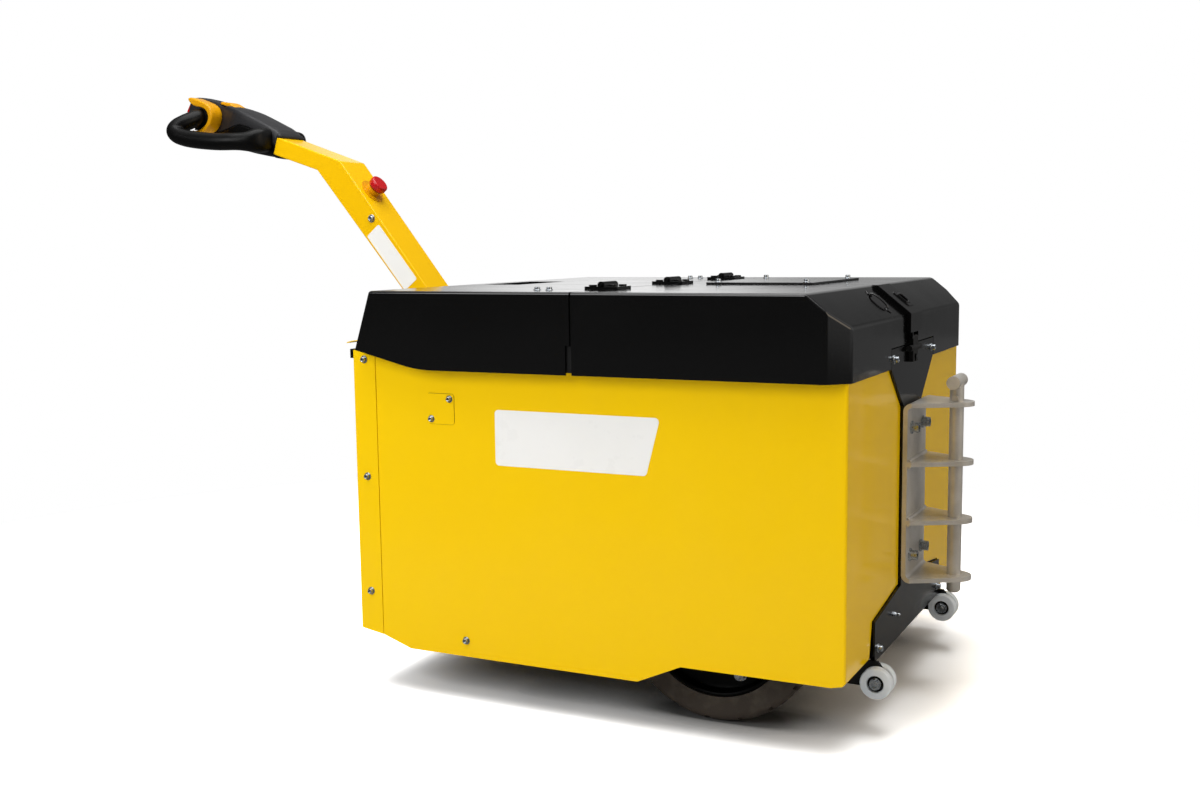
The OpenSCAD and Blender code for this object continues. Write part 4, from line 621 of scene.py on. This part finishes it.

# Blank label plates, a thin dark line of painted shade round each hatch, and a dark strip of painted shade
# behind the seam of the covers
SIDE_LABEL = [(-639, 441), (-348, 441), (-322, 540), (-639, 540)]
ARM_LABEL = [(285, -22), (434, -22), (434, 18), (285, 18)]
LABEL_T, SHADE_LINE_W, SHADE_LINE_T = 0.5, 0.5, 0.25
HATCH_SHADE_LINE = rectangle(-780 - SHADE_LINE_W, -723 + SHADE_LINE_W, 509 - SHADE_LINE_W, 564 + SHADE_LINE_W)
SEAM_SHADE_X = (-490, -464)
SEAM_SHADE_YZ = ((430, 433, 612, 743), (-433, -430, 612, 743), (-433, 433, 739, 743))
for side, tag in ((1, "left"), (-1, "right")):
    bm = prism(bmesh.new(), rounded(SIDE_LABEL, 7), side * PANEL_HALF, side * (PANEL_HALF + LABEL_T))
    add("side_label_" + tag, bm, "chassis", "white_nylon", material=LABEL)
    # A dark sheet just behind the hatch, showing as a thin line round it: painted shade for the gap at the
    # hatch's edge
    bm = prism(bmesh.new(), rounded(HATCH_SHADE_LINE, 6), side * PANEL_HALF, side * (PANEL_HALF + SHADE_LINE_T))
    add("hatch_shade_line_" + tag, bm, "chassis", "black_rubber")
    flat = [(PIVOT[0] - s * math.cos(ARM_LOW) + n * math.sin(ARM_LOW),
             PIVOT[1] + s * math.sin(ARM_LOW) + n * math.cos(ARM_LOW)) for s, n in ARM_LABEL]
    bm = prism(bmesh.new(), rounded(flat, 4), side * ARM_HALF, side * (ARM_HALF + LABEL_T))
    add("arm_label_" + tag, bm, "tiller", "white_nylon", material=LABEL)

# A dark strip just inside the seam of the lid and the rear cover: painted shade seen through the gap
bm = bmesh.new()
for y0, y1, z0, z1 in SEAM_SHADE_YZ:
    prism(bm, rectangle(*SEAM_SHADE_X, z0, z1), y0, y1)
add("cover_seam_shade", bm, "chassis", "black_rubber")


# Bow handle on the lid's slope: a flat foot at each end and a slim bow between them
SLOPE_TOP, SLOPE, HANDLE_Y = (-65, COVER_TOP), math.atan2(53, 65), -128
BOW = [
    (21, 0, -6), (22, 0, 0), (24, 0, 4), (30, 0, 6), (42, 0, 6.8), (54, 0, 6), (60, 0, 4), (62, 0, 0),
    (63, 0, -6)]
BOW_HALF_T, BOW_HALF_W, FOOT_HALF_L, FOOT_HALF_W, FEET_S = 1.9, 4.4, 7.5, 7, (20, 64)
# A foot's height and its share of its full size, from the lid up
FOOT_RINGS = ((0, 1), (1.2, 1), (1.8, 0.9))


def on_slope(s, y, n):
    """A place s down the lid's front slope and n above it."""
    c, d = math.cos(SLOPE), math.sin(SLOPE)
    return at(SLOPE_TOP[0] + s * c + n * d, y, SLOPE_TOP[1] - s * d + n * c)


bm = bmesh.new()
bow = spline([Vector(p) for p in BOW], 5)
rings = []
for i, p in enumerate(bow):
    way = heading(bow, i)
    out = Vector((-way.z, 0, way.x))
    rings.append([
        on_slope(*(p + Vector((0, HANDLE_Y, 0)) + out * BOW_HALF_T * math.sin(a)
                   + Vector((0, 1, 0)) * BOW_HALF_W * math.cos(a)))
        for a in turns(20)])
loft(bm, rings)
for s in FEET_S:
    oval = [(FOOT_HALF_L * math.cos(a), FOOT_HALF_W * math.sin(a)) for a in turns(32)]
    loft(bm, [[on_slope(s + a * share, HANDLE_Y + b * share, n) for a, b in oval] for n, share in FOOT_RINGS])
add("lid_handle_bow", bm, "lid", "black_gloss_plastic", "lid_handle", material=HANDLE_GLOSS)

# Strip down the lid's front to the latch, its folded pull ring, and the two lugs with the latch's pin
STRIP_Y, STRIP_LIFT, STRIP_FOOT = (-52, 32), 7, 664
STRIP = [SLOPE_TOP, (-53.9, COVER_TOP), (7, 698.3), (7, STRIP_FOOT), (0, STRIP_FOOT), (0, 695)]
LATCH_Y, LATCH_Z, LATCH_X, LUG_OUT, LUG_T, LUG_R = -20, 654.5, 4.3, 20.3, 4, 4
PULL_S, PULL_Y, PULL_LOW, PULL_HIGH, PULL_ROLL = (30, 70), (-15, 25), STRIP_LIFT - 0.2, STRIP_LIFT + 1.4, 1.7
bm = prism(bmesh.new(), STRIP, *STRIP_Y)
soften(bm, 1, 3)


def pull_line(inset, corner, n):
    """The outline of the pull ring, drawn in by inset, at n above the lid's slope."""
    flat = rectangle(PULL_S[0] + inset, PULL_S[1] - inset, PULL_Y[0] + inset, PULL_Y[1] - inset)
    return [on_slope(s, y, n) for s, y in rounded(flat, corner)]


loft(bm, [
    pull_line(0, 4, PULL_LOW), pull_line(0.5, 4, PULL_HIGH), pull_line(6.5, 3, PULL_HIGH),
    pull_line(7, 3, PULL_LOW)], closed=True)
loft(bm, [
    pull_line(8.6 + PULL_ROLL * math.cos(a), 3, PULL_HIGH + PULL_ROLL * math.sin(a)) for a in turns(12)],
    closed=True)
lug_round = [
    (LATCH_X + LUG_R * math.cos(a), LATCH_Z + LUG_R * math.sin(a))
    for a in (-math.pi / 2 + math.pi * k / 16 for k in range(9))]
lug = [(0, LATCH_Z - LUG_R)] + lug_round + [(LATCH_X + LUG_R, STRIP_FOOT), (0, STRIP_FOOT)]
for side in (-1, 1):
    y = LATCH_Y + side * LUG_OUT
    prism(bm, lug, y - LUG_T / 2, y + LUG_T / 2)
reach = LUG_OUT + LUG_T / 2
lathe(bm, at(LATCH_X, LATCH_Y, LATCH_Z), (0, 1, 0), [(0, -reach), (2, -reach), (2, reach), (0, reach)], 24)
add("latch_strip_formed", bm, "lid", "black_paint", "latch_strip")

# Charge inlet: a small black socket box behind the panel's edge under a thin yellow rain lip
INLET_BACK, INLET_FRONT, INLET_LOW, INLET_HIGH = -952, -900, 622, 639
INLET_Y, SOCKETS_Y, RAIN_LIP_Y = (-402, -366), (-393, -375), (-408, -362)
SOCKET_RIM = [(0, -1), (6, -1), (6, 1), (5, 1.4), (4, 1.4), (4, 0.4), (0, 0.4)]
RAIN_LIP = [
    (-955, 651.2), (-952, 652.6), (-944, 654.6), (-934, 656), (-920, 656.6), (-920, 655), (-934, 654.4),
    (-944, 653), (-952, 651), (-954.6, 650)]
bm = prism(bmesh.new(), rectangle(INLET_BACK, INLET_FRONT, INLET_LOW, INLET_HIGH), *INLET_Y)
soften(bm, 2, 3)
for y in SOCKETS_Y:
    lathe(bm, at(INLET_BACK, y, (INLET_LOW + INLET_HIGH) / 2), (-1, 0, 0), SOCKET_RIM, 32)
add("charge_inlet_box", bm, "chassis", "black_plastic", "charge_inlet")
bm = prism(bmesh.new(), RAIN_LIP, *RAIN_LIP_Y)
add("inlet_rain_lip", bm, "chassis", "yellow_paint")


# Anti-tip rollers: a nylon wheel dished on both faces, a dark disc of painted shade in each dish, the bolt
# through each pair
ROLLER_X, ROLLER_Z = 8.5, 90.5
ROLLERS = (
    ("roller_left_outer", "roller_a", 259.3), ("roller_left_inner", "roller_b", 235.7),
    ("roller_right_outer", "roller_c", -277.3), ("roller_right_inner", "roller_d", -253.7))
ROLLER = [
    (6.3, 6), (14.2, 6), (14.2, 1), (15.2, 0), (23.6, 0), (25.9, 0.8), (27, 2.8), (27, 15.2), (25.9, 17.2),
    (23.6, 18), (15.2, 18), (14.2, 17), (14.2, 12), (6.3, 12)]
SHADE_DISC, SHADE_DISCS_Y = [(6.3, 0), (12.8, 0), (13.8, 0.4), (13.8, 1.2), (12.8, 1.6), (6.3, 1.6)], (4.2, 12.2)
# Shank, washer and hexagon head outside, washer and nut inside: profile, sides, points round the hexagon
ROLLER_BOLT = (
    ([(0, 236), (6.1, 236), (6.1, 277.5), (0, 277.5)], 32, ()),
    ([(5.9, 273), (9.8, 273), (9.8, 277.2), (9.4, 277.6), (5.9, 277.6)], 40, ()),
    ([(0, 277.6), (9, 277.6), (9, 281.6), (8.6, 282.3), (7.8, 282.6), (5.4, 282.6), (4.9, 282.1),
      (4.9, 279.6), (0, 279.6)], 48, (6, 7)),
    ([(5.9, 241), (10.6, 241), (10.6, 236), (5.9, 236)], 40, ()),
    ([(0, 230.4), (4.6, 230.4), (5.6, 231.2), (5.6, 232), (8.6, 231.6), (10.4, 232.4), (10.4, 236.2),
      (0, 236.2)], 48, (5, 6)))
for node, body, low in ROLLERS:
    bm = bmesh.new()
    lathe(bm, at(ROLLER_X, low, ROLLER_Z), (0, 1, 0), ROLLER, 72)
    add(node + "_turned", bm, body, "white_nylon", node)
    # A dark disc in each dish: painted shade in the recess round the bolt
    bm = bmesh.new()
    for s in SHADE_DISCS_Y:
        lathe(bm, at(ROLLER_X, low + s, ROLLER_Z), (0, 1, 0), SHADE_DISC, 48)
    add(node + "_shade_discs", bm, body, "black_rubber")

bm = bmesh.new()
for side in (1, -1):
    for profile, sides, hexed in ROLLER_BOLT:
        lathe(bm, at(ROLLER_X, 0, ROLLER_Z), (0, side, 0), profile, sides, hexed)
add("roller_bolts_detailed", bm, "chassis", "zinc_steel", "roller_bolts")

# Drive rims: a barrel, a deep dish and five lug nuts on washers
AXLE_X, AXLE_Z, NUTS, NUT_R, NUT_TURN = -261, 180, 5, 104, math.radians(-67)
RIM = [
    (0, 146), (22, 146), (22, 226), (128, 226), (135, 222), (135, 317), (133.6, 320), (130.5, 321),
    (128, 319.4), (126.4, 312), (124, 304), (119, 300.6), (92, 299), (64, 296.5), (56, 300), (52, 306),
    (49, 309), (0, 309)]
NUT_WASHER = [(0, 298), (12, 298), (12, 301), (11.4, 301.6), (0, 301.6)]
NUT = [(0, 301.4), (10, 301.4), (10, 310), (8.6, 311.4), (5.4, 311.8), (5, 314), (4.2, 314.8), (0, 314.8)]
for side, tag in ((1, "left"), (-1, "right")):
    bm = bmesh.new()
    hub = at(AXLE_X, 0, AXLE_Z)
    way = (0, side, 0)
    lathe(bm, hub, way, RIM, 96)
    add("drive_rim_" + tag + "_turned", bm, "drive_wheel_" + tag, "black_paint", "drive_rim_" + tag,
        material=RIM_BLACK)
    bm = bmesh.new()
    for turned in turns(NUTS):
        a = NUT_TURN + turned
        place = hub + Vector((math.cos(a), 0, math.sin(a))) * NUT_R * MM
        lathe(bm, place, way, NUT_WASHER, 36)
        lathe(bm, place, way, NUT, 36, hexed=(1, 2))
    add("lug_nuts_" + tag, bm, "drive_wheel_" + tag, "zinc_steel")


# Control head: half of a ring of each part, as shares of its half width and height
SHELL_SHARES = [
    (1, 0), (1, 0.28), (0.99, 0.54), (0.96, 0.76), (0.88, 0.91), (0.72, 0.968), (0.36, 0.995), (0, 1)]
BASE_SHARES = [(1, 0), (0.99, 0.34), (0.95, 0.62), (0.86, 0.83), (0.7, 0.95), (0.4, 0.995), (0, 1)]
CORE_SHARES = [(1, 0), (1, 0.5), (1, 0.86), (0.93, 0.955), (0.75, 0.99), (0.4, 1), (0, 1)]


def section(shares, s, half, low, high):
    """A ring of the head at s along it, from its foot at low to its crown at high."""
    near = [(-half * a, low + (high - low) * b) for a, b in shares]
    far = [(-y, n) for y, n in near[-2::-1]]
    return [on_head(s, y, n) for y, n in near + far]


PADDLE_S, PADDLE_N = 0.784 * REACH, 0.0175 * REACH
PADDLE = on_head(PADDLE_S, 0, PADDLE_N)
CORE_HALF = 19.4
BUTTON_X = HEAD[0] - REACH
HEAD_VOXEL, GRIP_VOXEL, PADDLE_VOXEL, BUTTON_VOXEL = 1.2, 1.3, 0.9, 0.7
# Place along the head, half width and height of the line where shell and base part, crown and keel
HEAD_ROWS = [
    (10, 43.9, 2, 34.6, -28), (30, 44.4, 15, 38.4, -31.2), (64, 44.5, 17.5, 42.6, -35.6),
    (92, 44.3, 18, 46, -38), (110, 43.5, 17, 47.8, -38.6), (125, 42, 9.5, 48.6, -38),
    (140, 38.5, 1, 48.9, -36.6), (155, 33, -6.5, 48.6, -34.8), (168, 27.5, -12.5, 48, -33),
    (178, 23.5, -17, 47.4, -31.5), (190, 20.5, -21, 46.8, -30)]
VISOR_ROWS = [
    (-7.5, 38, 20, 23), (-6.5, 41, 20, 25), (-3.5, 43, 20, 27.6), (-0.3, 43.6, 20, 29.9), (0, 43.6, 0.3, 30)]
CORE_ROWS = [
    (168, -22, 47), (190, -27, 46.8), (212, -26.5, 45.9), (229, -25, 44.6), (250, -22, 42.2), (266, -19, 39),
    (276, -17, 35.4), (282, -16, 30.5)]
CUFF_ROWS = [
    (-26.5, 36, -19.8, -21.5), (-24, 40.5, -19.8, -23), (-14, 42, -19.8, -25), (-1, 42.8, -19.8, -27),
    (-0.5, 43.2, -0.6, -27)]
# The rocker's pocket: its ends, half its width, its floor and a height above the head
POCKET = (149.7, 196.8, 19.8, 39.6, 70)
PADDLE_ROOM_R, PADDLE_ROOM_L = 41, 60
# What the belly button travels in, from the head's end inwards (X) and above the ground (Z)
PAD_ROOM_HALF = 15
PAD_ROOM = [(-6, 1138), (30.1, 1127.7), (39.6, 1127.7), (48.4, 1156.2), (28, 1163.2), (-6, 1163.2)]


def paddle_room():
    """What the paddles turn in: a round space at each side of the core."""
    bm = bmesh.new()
    for side in (-1, 1):
        lathe(bm, PADDLE + Vector((0, side * CORE_HALF * MM, 0)), (0, side, 0),
              [(0, 0), (PADDLE_ROOM_R, 0), (PADDLE_ROOM_R, PADDLE_ROOM_L), (0, PADDLE_ROOM_L)], 96)
    return bm


def head_box(s0, s1, half, n0, n1):
    """A box along the head, as a cutter."""
    corners = ((-half, n0), (half, n0), (half, n1), (-half, n1))
    return loft(bmesh.new(), [[on_head(s, y, n) for y, n in corners] for s in (s0, s1)])


shell = bmesh.new()
loft(shell, [section(SHELL_SHARES, *row) for row in VISOR_ROWS]
     + [section(SHELL_SHARES, s, half, low, crown) for s, half, low, crown, keel in HEAD_ROWS])
loft(shell, [section(CORE_SHARES, s, CORE_HALF, low, high) for s, low, high in CORE_ROWS])
shell = fused(shell, HEAD_VOXEL, 3, [
    paddle_room(),
    head_box(*POCKET),
    prism(bmesh.new(), [(BUTTON_X + a, z) for a, z in PAD_ROOM], -PAD_ROOM_HALF, PAD_ROOM_HALF)])
add("head_shell_moulded", shell, "tiller", "grey_plastic", "head_shell", crisp=NEVER)

base = bmesh.new()
loft(base, [section(BASE_SHARES, *row) for row in CUFF_ROWS]
     + [section(BASE_SHARES, s, half - 0.4, low - 0.5, keel) for s, half, low, crown, keel in HEAD_ROWS])
base = fused(base, HEAD_VOXEL, 3, [paddle_room()])
add("head_base_moulded", base, "tiller", "black_plastic", "head_base", crisp=NEVER)

# Closed hand grips: along, across and above the head; each root widens to a block that grows out of the base
GRIP = [
    (219.5, -2, 4.9), (219.5, -20, 4.9), (219.5, -44, 4.9), (218, -57, 2), (219.5, -71, -5), (225, -86, -15),
    (231, -98, -26), (230, -105.5, -36), (217, -109, -41.5), (198, -109.5, -42), (175, -109, -39.5),
    (143, -107.5, -33.5), (103, -104.5, -24), (68, -97, -13), (44, -83, -5), (34, -66, 1), (33, -50, 2.5),
    (33, -38, 3), (33, -30, 3)]
GRIP_R, ROOT_WIDE, ROOT_TALL = 18.8, 24.5, 26.5
# Across the head: where a root starts to widen and over what length, and the same for the thinner stub
ROOT_Y, ROOT_OVER, STUB_Y, STUB_OVER, STUB_THINNER, ROOT_SQUARE = 98, 36, 46, 18, 1.4, 0.42
WORLD_UP = Vector((math.sin(ARM_UP), 0, math.cos(ARM_UP)))


def eased(t):
    """A share from 0 to 1 with a soft start and end."""
    t = min(max(t, 0), 1)
    return t * t * (3 - 2 * t)


def powered(value, share):
    """A power that keeps the sign, for rings between round and square."""
    return math.copysign(abs(value) ** share, value)


line = spline([Vector(p) for p in GRIP], 6)[::-1]
grips = bmesh.new()
rings = []
above = WORLD_UP
for i, p in enumerate(line):
    way = heading(line, i)
    above = (above - way * above.dot(way)).normalized()
    across = way.cross(above)
    root = eased((p.y + ROOT_Y) / ROOT_OVER) if i < len(line) / 2 else 0
    stub = STUB_THINNER * (1 - eased((-p.y - STUB_Y) / STUB_OVER))
    wide = GRIP_R - stub * (1 - root) + (ROOT_WIDE - GRIP_R) * root
    tall = GRIP_R - stub * (1 - root) + (ROOT_TALL - GRIP_R) * root
    square = 1 - ROOT_SQUARE * root
    rings.append([
        p + across * wide * powered(math.cos(a), square) + above * tall * powered(math.sin(a), square)
        for a in turns(40)])
for side in (1, -1):
    loft(grips, [[on_head(q.x, q.y * side, q.z) for q in ring] for ring in rings])
grips = fused(grips, GRIP_VOXEL, 4)
add("hand_grips_moulded", grips, "tiller", "black_plastic", "hand_grips", crisp=NEVER)

# Throttle paddles: a C-shaped band with a wing above and a thin lip below, drawn along and above its axis
BAND = [
    (8, -36.5), (-8, -36), (-20, -31.5), (-30.5, -22.5), (-37, -10), (-38.8, 2), (-37.5, 13), (-32.5, 22.5),
    (-24, 29.5), (-12, 33.2), (2, 34.2), (14, 34.8), (26, 34.8), (36, 33.4), (40, 30), (38, 25.4),
    (31, 21.4), (20, 18.4), (8, 19), (-6, 20.2), (-17, 17.4), (-24.6, 10), (-27.4, 1), (-25.5, -9),
    (-20.5, -18.5), (-12, -26.5), (-2, -32), (6, -35.2)]
# Across the head, and how far the band's outline is drawn in there
BAND_ROWS = ((20.3, 0), (24, 0), (48, 0), (52.5, 0.4), (54.4, 1.4), (55, 2.8))
ROD_BACK, ROD_R, ROD_HALF = 32, 4, 40
outline = closed_spline([Vector((a, 0, b)) for a, b in BAND], 4)
paddles = bmesh.new()
for side in (-1, 1):
    rings = []
    for y, inset in BAND_ROWS:
        rings.append([on_head(PADDLE_S + q.x, side * y, PADDLE_N + q.z) for q in shrunk(outline, inset)])
    loft(paddles, rings)
rod = PADDLE + Vector((ROD_BACK * math.cos(ARM_UP), -ROD_HALF, ROD_BACK * -math.sin(ARM_UP))) * MM
lathe(paddles, rod, (0, 1, 0), [(0, 0), (ROD_R, 0), (ROD_R, 2 * ROD_HALF), (0, 2 * ROD_HALF)], 24)
paddles = fused(paddles, PADDLE_VOXEL, 6)
add("throttle_paddles_moulded", paddles, "paddles", "yellow_plastic", "throttle_paddles", crisp=NEVER)

# Black bush that fills the band round the grip's stub
BUSH = [
    (-5, 19.8), (-17, 16.9), (-24.3, 9.7), (-27, 1), (-25.1, -9), (-20.1, -18.2), (-11.8, -26), (-2, -31.4),
    (4, -33)]
BUSH_R, BUSH_ARC, BUSH_Y = 18.4, range(-84, -262, -8), (21, 53)
bush = bmesh.new()
inner = [(BUSH_R * math.cos(math.radians(a)), BUSH_R * math.sin(math.radians(a))) for a in BUSH_ARC]
for side in (-1, 1):
    loft(bush, [[on_head(PADDLE_S + a, side * y, PADDLE_N + b) for a, b in BUSH + inner] for y in BUSH_Y])
add("paddle_bushes", bush, "paddles", "black_plastic")

# Belly button: a rounded pad whose face leans out downwards
PAD = [(262, 24), (283.5, 24), (286.5, 21.5), (289.5, 10), (292.2, -0.5), (290.5, -4.5), (262, -4.5)]
PAD_HALF = 13.6
button = loft(bmesh.new(), [[on_head(a, y, b) for a, b in PAD] for y in (-PAD_HALF, PAD_HALF)])
button = fused(button, BUTTON_VOXEL, 8)
add("belly_button_moulded", button, "belly", "red_plastic", "belly_button", crisp=NEVER)

# Speed rocker: a shallow saddle, higher at its middle
ROCKER_ROWS = [
    (151, 46.4), (152.5, 47.6), (160, 48.6), (168, 50.2), (173, 50.8), (178, 50.2), (186, 48.6), (194, 47.4),
    (195.5, 46.2)]
ROCKER_FOOT, ROCKER_SWELL = 43, 0.6


def rocker_ring(s, top):
    """A ring of the rocker at s along the head: its crown is at top, and swells a little in the middle."""
    half = [(11, top + 0.4 + ROCKER_SWELL), (17.6, top), (19, top - 1.2), (19, ROCKER_FOOT)]
    return [on_head(s, y, n) for y, n in [(-y, n) for y, n in half[::-1]] + half]


rocker = fused(loft(bmesh.new(), [rocker_ring(s, top) for s, top in ROCKER_ROWS]), BUTTON_VOXEL, 3)
add("speed_rocker_moulded", rocker, "rocker", "yellow_plastic", "speed_rocker", crisp=NEVER)

# Floor: pale near the tug, with a soft shadow painted into its colour by how shut in it is, and white further
# off
FLOOR_HALF, FLOOR_DROP, SHADOW_REACH, PALE_TO, WHITE_FROM = 9.0, 0.0005, 0.26, 1.25, 2.1
# Its colour for diffuse and for glossy rays, its colour for the camera where it is shut in (a painted shadow)
# and where it is open, the openness at which each of those two begins, and its glow for diffuse rays
DIFFUSE_FLOOR, GLOSSY_FLOOR, PAINTED_SHADOW_FLOOR, OPEN_FLOOR = 0.85, 0.25, 0.16, 2.4
SHUT_BELOW, OPEN_ABOVE, FLOOR_GLOW = 0.3, 0.9, 0.13
floor_mesh = bpy.data.meshes.new("floor")
floor_mesh.from_pydata(
    [(-FLOOR_HALF, -FLOOR_HALF, 0), (FLOOR_HALF, -FLOOR_HALF, 0), (FLOOR_HALF, FLOOR_HALF, 0),
     (-FLOOR_HALF, FLOOR_HALF, 0)], [], [(0, 1, 2, 3)])
floor = bpy.data.objects.new("floor", floor_mesh)
bpy.context.scene.collection.objects.link(floor)
floor.location.z = -FLOOR_DROP
floor_mat = Mat("floor", "F2F2F2", 0.9)
tree = floor_mat.tree
path = tree.nodes.new("ShaderNodeLightPath")
shade = tree.nodes.new("ShaderNodeMix")
shade.data_type = "RGBA"
floor_mat.link(path.outputs["Is Camera Ray"], shade.inputs["Factor"])
glossy_share = floor_mat.span(path.outputs["Is Glossy Ray"], 0, 1, DIFFUSE_FLOOR, GLOSSY_FLOOR)
floor_mat.link(glossy_share, shade.inputs[6])
# Ambient occlusion darkens the floor's colour for the camera near and under the tug: a painted shadow
shut_in = floor_mat.node("ShaderNodeAmbientOcclusion", Distance=SHADOW_REACH)
shut_in.samples = 32
shadow = floor_mat.span(shut_in.outputs["AO"], SHUT_BELOW, OPEN_ABOVE, PAINTED_SHADOW_FLOOR, OPEN_FLOOR)
floor_mat.link(shadow, shade.inputs[7])
matt = tree.nodes.new("ShaderNodeBsdfDiffuse")
floor_mat.link(shade.outputs[2], matt.inputs["Color"])
white = floor_mat.node("ShaderNodeEmission", Color=(1, 1, 1, 1))
floor_mat.link(
    floor_mat.span(path.outputs["Is Camera Ray"], 0, 1, FLOOR_GLOW, 1.0), white.inputs["Strength"])
seen = floor_mat.node("ShaderNodeMath", operation="MAXIMUM")
floor_mat.link(path.outputs["Is Camera Ray"], seen.inputs[0])
floor_mat.link(path.outputs["Is Glossy Ray"], seen.inputs[1])
length = floor_mat.node("ShaderNodeVectorMath", operation="LENGTH")
floor_mat.link(floor_mat.coord, length.inputs[0])
both = floor_mat.node("ShaderNodeMath", operation="MULTIPLY")
floor_mat.link(floor_mat.span(length.outputs["Value"], PALE_TO, WHITE_FROM), both.inputs[0])
floor_mat.link(seen.outputs[0], both.inputs[1])
mix = tree.nodes.new("ShaderNodeMixShader")
floor_mat.link(both.outputs[0], mix.inputs[0])
floor_mat.link(matt.outputs[0], mix.inputs[1])
floor_mat.link(white.outputs[0], mix.inputs[2])
floor_mat.link(mix.outputs[0], tree.nodes["Material Output"].inputs["Surface"])
dress(floor, floor_mat.material)


# Lamps
def lamp(name, place, target, size, power, colour=(1, 1, 1)):
    """A soft rectangular lamp in metres and watts, turned to its target."""
    light = bpy.data.lights.new(name, "AREA")
    light.color = colour
    light.shape, light.size, light.size_y, light.energy = "RECTANGLE", size[0], size[1], power
    obj = bpy.data.objects.new(name, light)
    bpy.context.scene.collection.objects.link(obj)
    obj.location = place
    obj.rotation_mode = "QUATERNION"
    obj.rotation_quaternion = (Vector(target) - Vector(place)).to_track_quat("-Z", "Y")


lamp("top", (0.2, -0.3, 3.4), (0, 0, 0.3), (3.0, 2.8), 106)
lamp("key", (-1.0, -3.3, 2.3), (0, 0, 0.4), (2.4, 1.8), 70)
lamp("front", (3.6, -0.6, 1.7), (0.4, 0, 0.4), (1.6, 1.8), 20, (1.0, 0.82, 0.6))

# World: white to the camera; gloss sees a dim studio with a white ceiling and two white walls, one beyond the
# tug as the photo looks at it and one ahead of the tug
WALL = Vector((-0.44, 0.9, 0.2)).normalized()
SIDE_WALL = Vector((0.9, 0.3, 0.25)).normalized()
DIM_GLOSS, DIM_DIFFUSE = 0.09, 0.14
world = bpy.data.worlds.new("world")
bpy.context.scene.world = world
world.use_nodes = True
sky = world.node_tree


def backdrop(strength):
    n = sky.nodes.new("ShaderNodeBackground")
    n.inputs["Color"].default_value = (1, 1, 1, 1)
    n.inputs["Strength"].default_value = strength
    return n


def blended(fac, a, b):
    n = sky.nodes.new("ShaderNodeMixShader")
    sky.links.new(fac, n.inputs[0])
    sky.links.new(a.outputs[0], n.inputs[1])
    sky.links.new(b.outputs[0], n.inputs[2])
    return n


def ramp(fac, low, high, top):
    """From the dim studio at low to the strength top at high."""
    n = sky.nodes.new("ShaderNodeMapRange")
    for i, value in enumerate((low, high, DIM_GLOSS, top), 1):
        n.inputs[i].default_value = value
    sky.links.new(fac, n.inputs[0])
    return n.outputs[0]


path = sky.nodes.new("ShaderNodeLightPath")
toward = sky.nodes.new("ShaderNodeTexCoord").outputs["Generated"]
height = sky.nodes.new("ShaderNodeSeparateXYZ")
sky.links.new(toward, height.inputs[0])


def facing(wall):
    """How nearly a direction points at a wall, up to 1."""
    n = sky.nodes.new("ShaderNodeVectorMath")
    n.operation = "DOT_PRODUCT"
    sky.links.new(toward, n.inputs[0])
    n.inputs[1].default_value = wall
    return n.outputs["Value"]


studio = backdrop(1.0)
strength = ramp(facing(WALL), 0.979, 0.988, 1.25)
for other in (ramp(facing(WALL), 0.9, 0.965, 0.42), ramp(facing(SIDE_WALL), 0.5, 0.85, 0.65),
              ramp(height.outputs["Z"], 0.55, 0.95, 0.8)):
    brighter = sky.nodes.new("ShaderNodeMath")
    brighter.operation = "MAXIMUM"
    sky.links.new(strength, brighter.inputs[0])
    sky.links.new(other, brighter.inputs[1])
    strength = brighter.outputs[0]
sky.links.new(strength, studio.inputs["Strength"])
lit = blended(path.outputs["Is Glossy Ray"], backdrop(DIM_DIFFUSE), studio)
clear = sky.nodes.new("ShaderNodeMath")
clear.operation = "MAXIMUM"
sky.links.new(path.outputs["Is Camera Ray"], clear.inputs[0])
sky.links.new(path.outputs["Is Transmission Ray"], clear.inputs[1])
seen_sky = blended(clear.outputs[0], lit, backdrop(1.0))
sky.links.new(seen_sky.outputs[0], sky.nodes["World Output"].inputs["Surface"])

bpy.context.scene.view_settings.view_transform = "Standard"
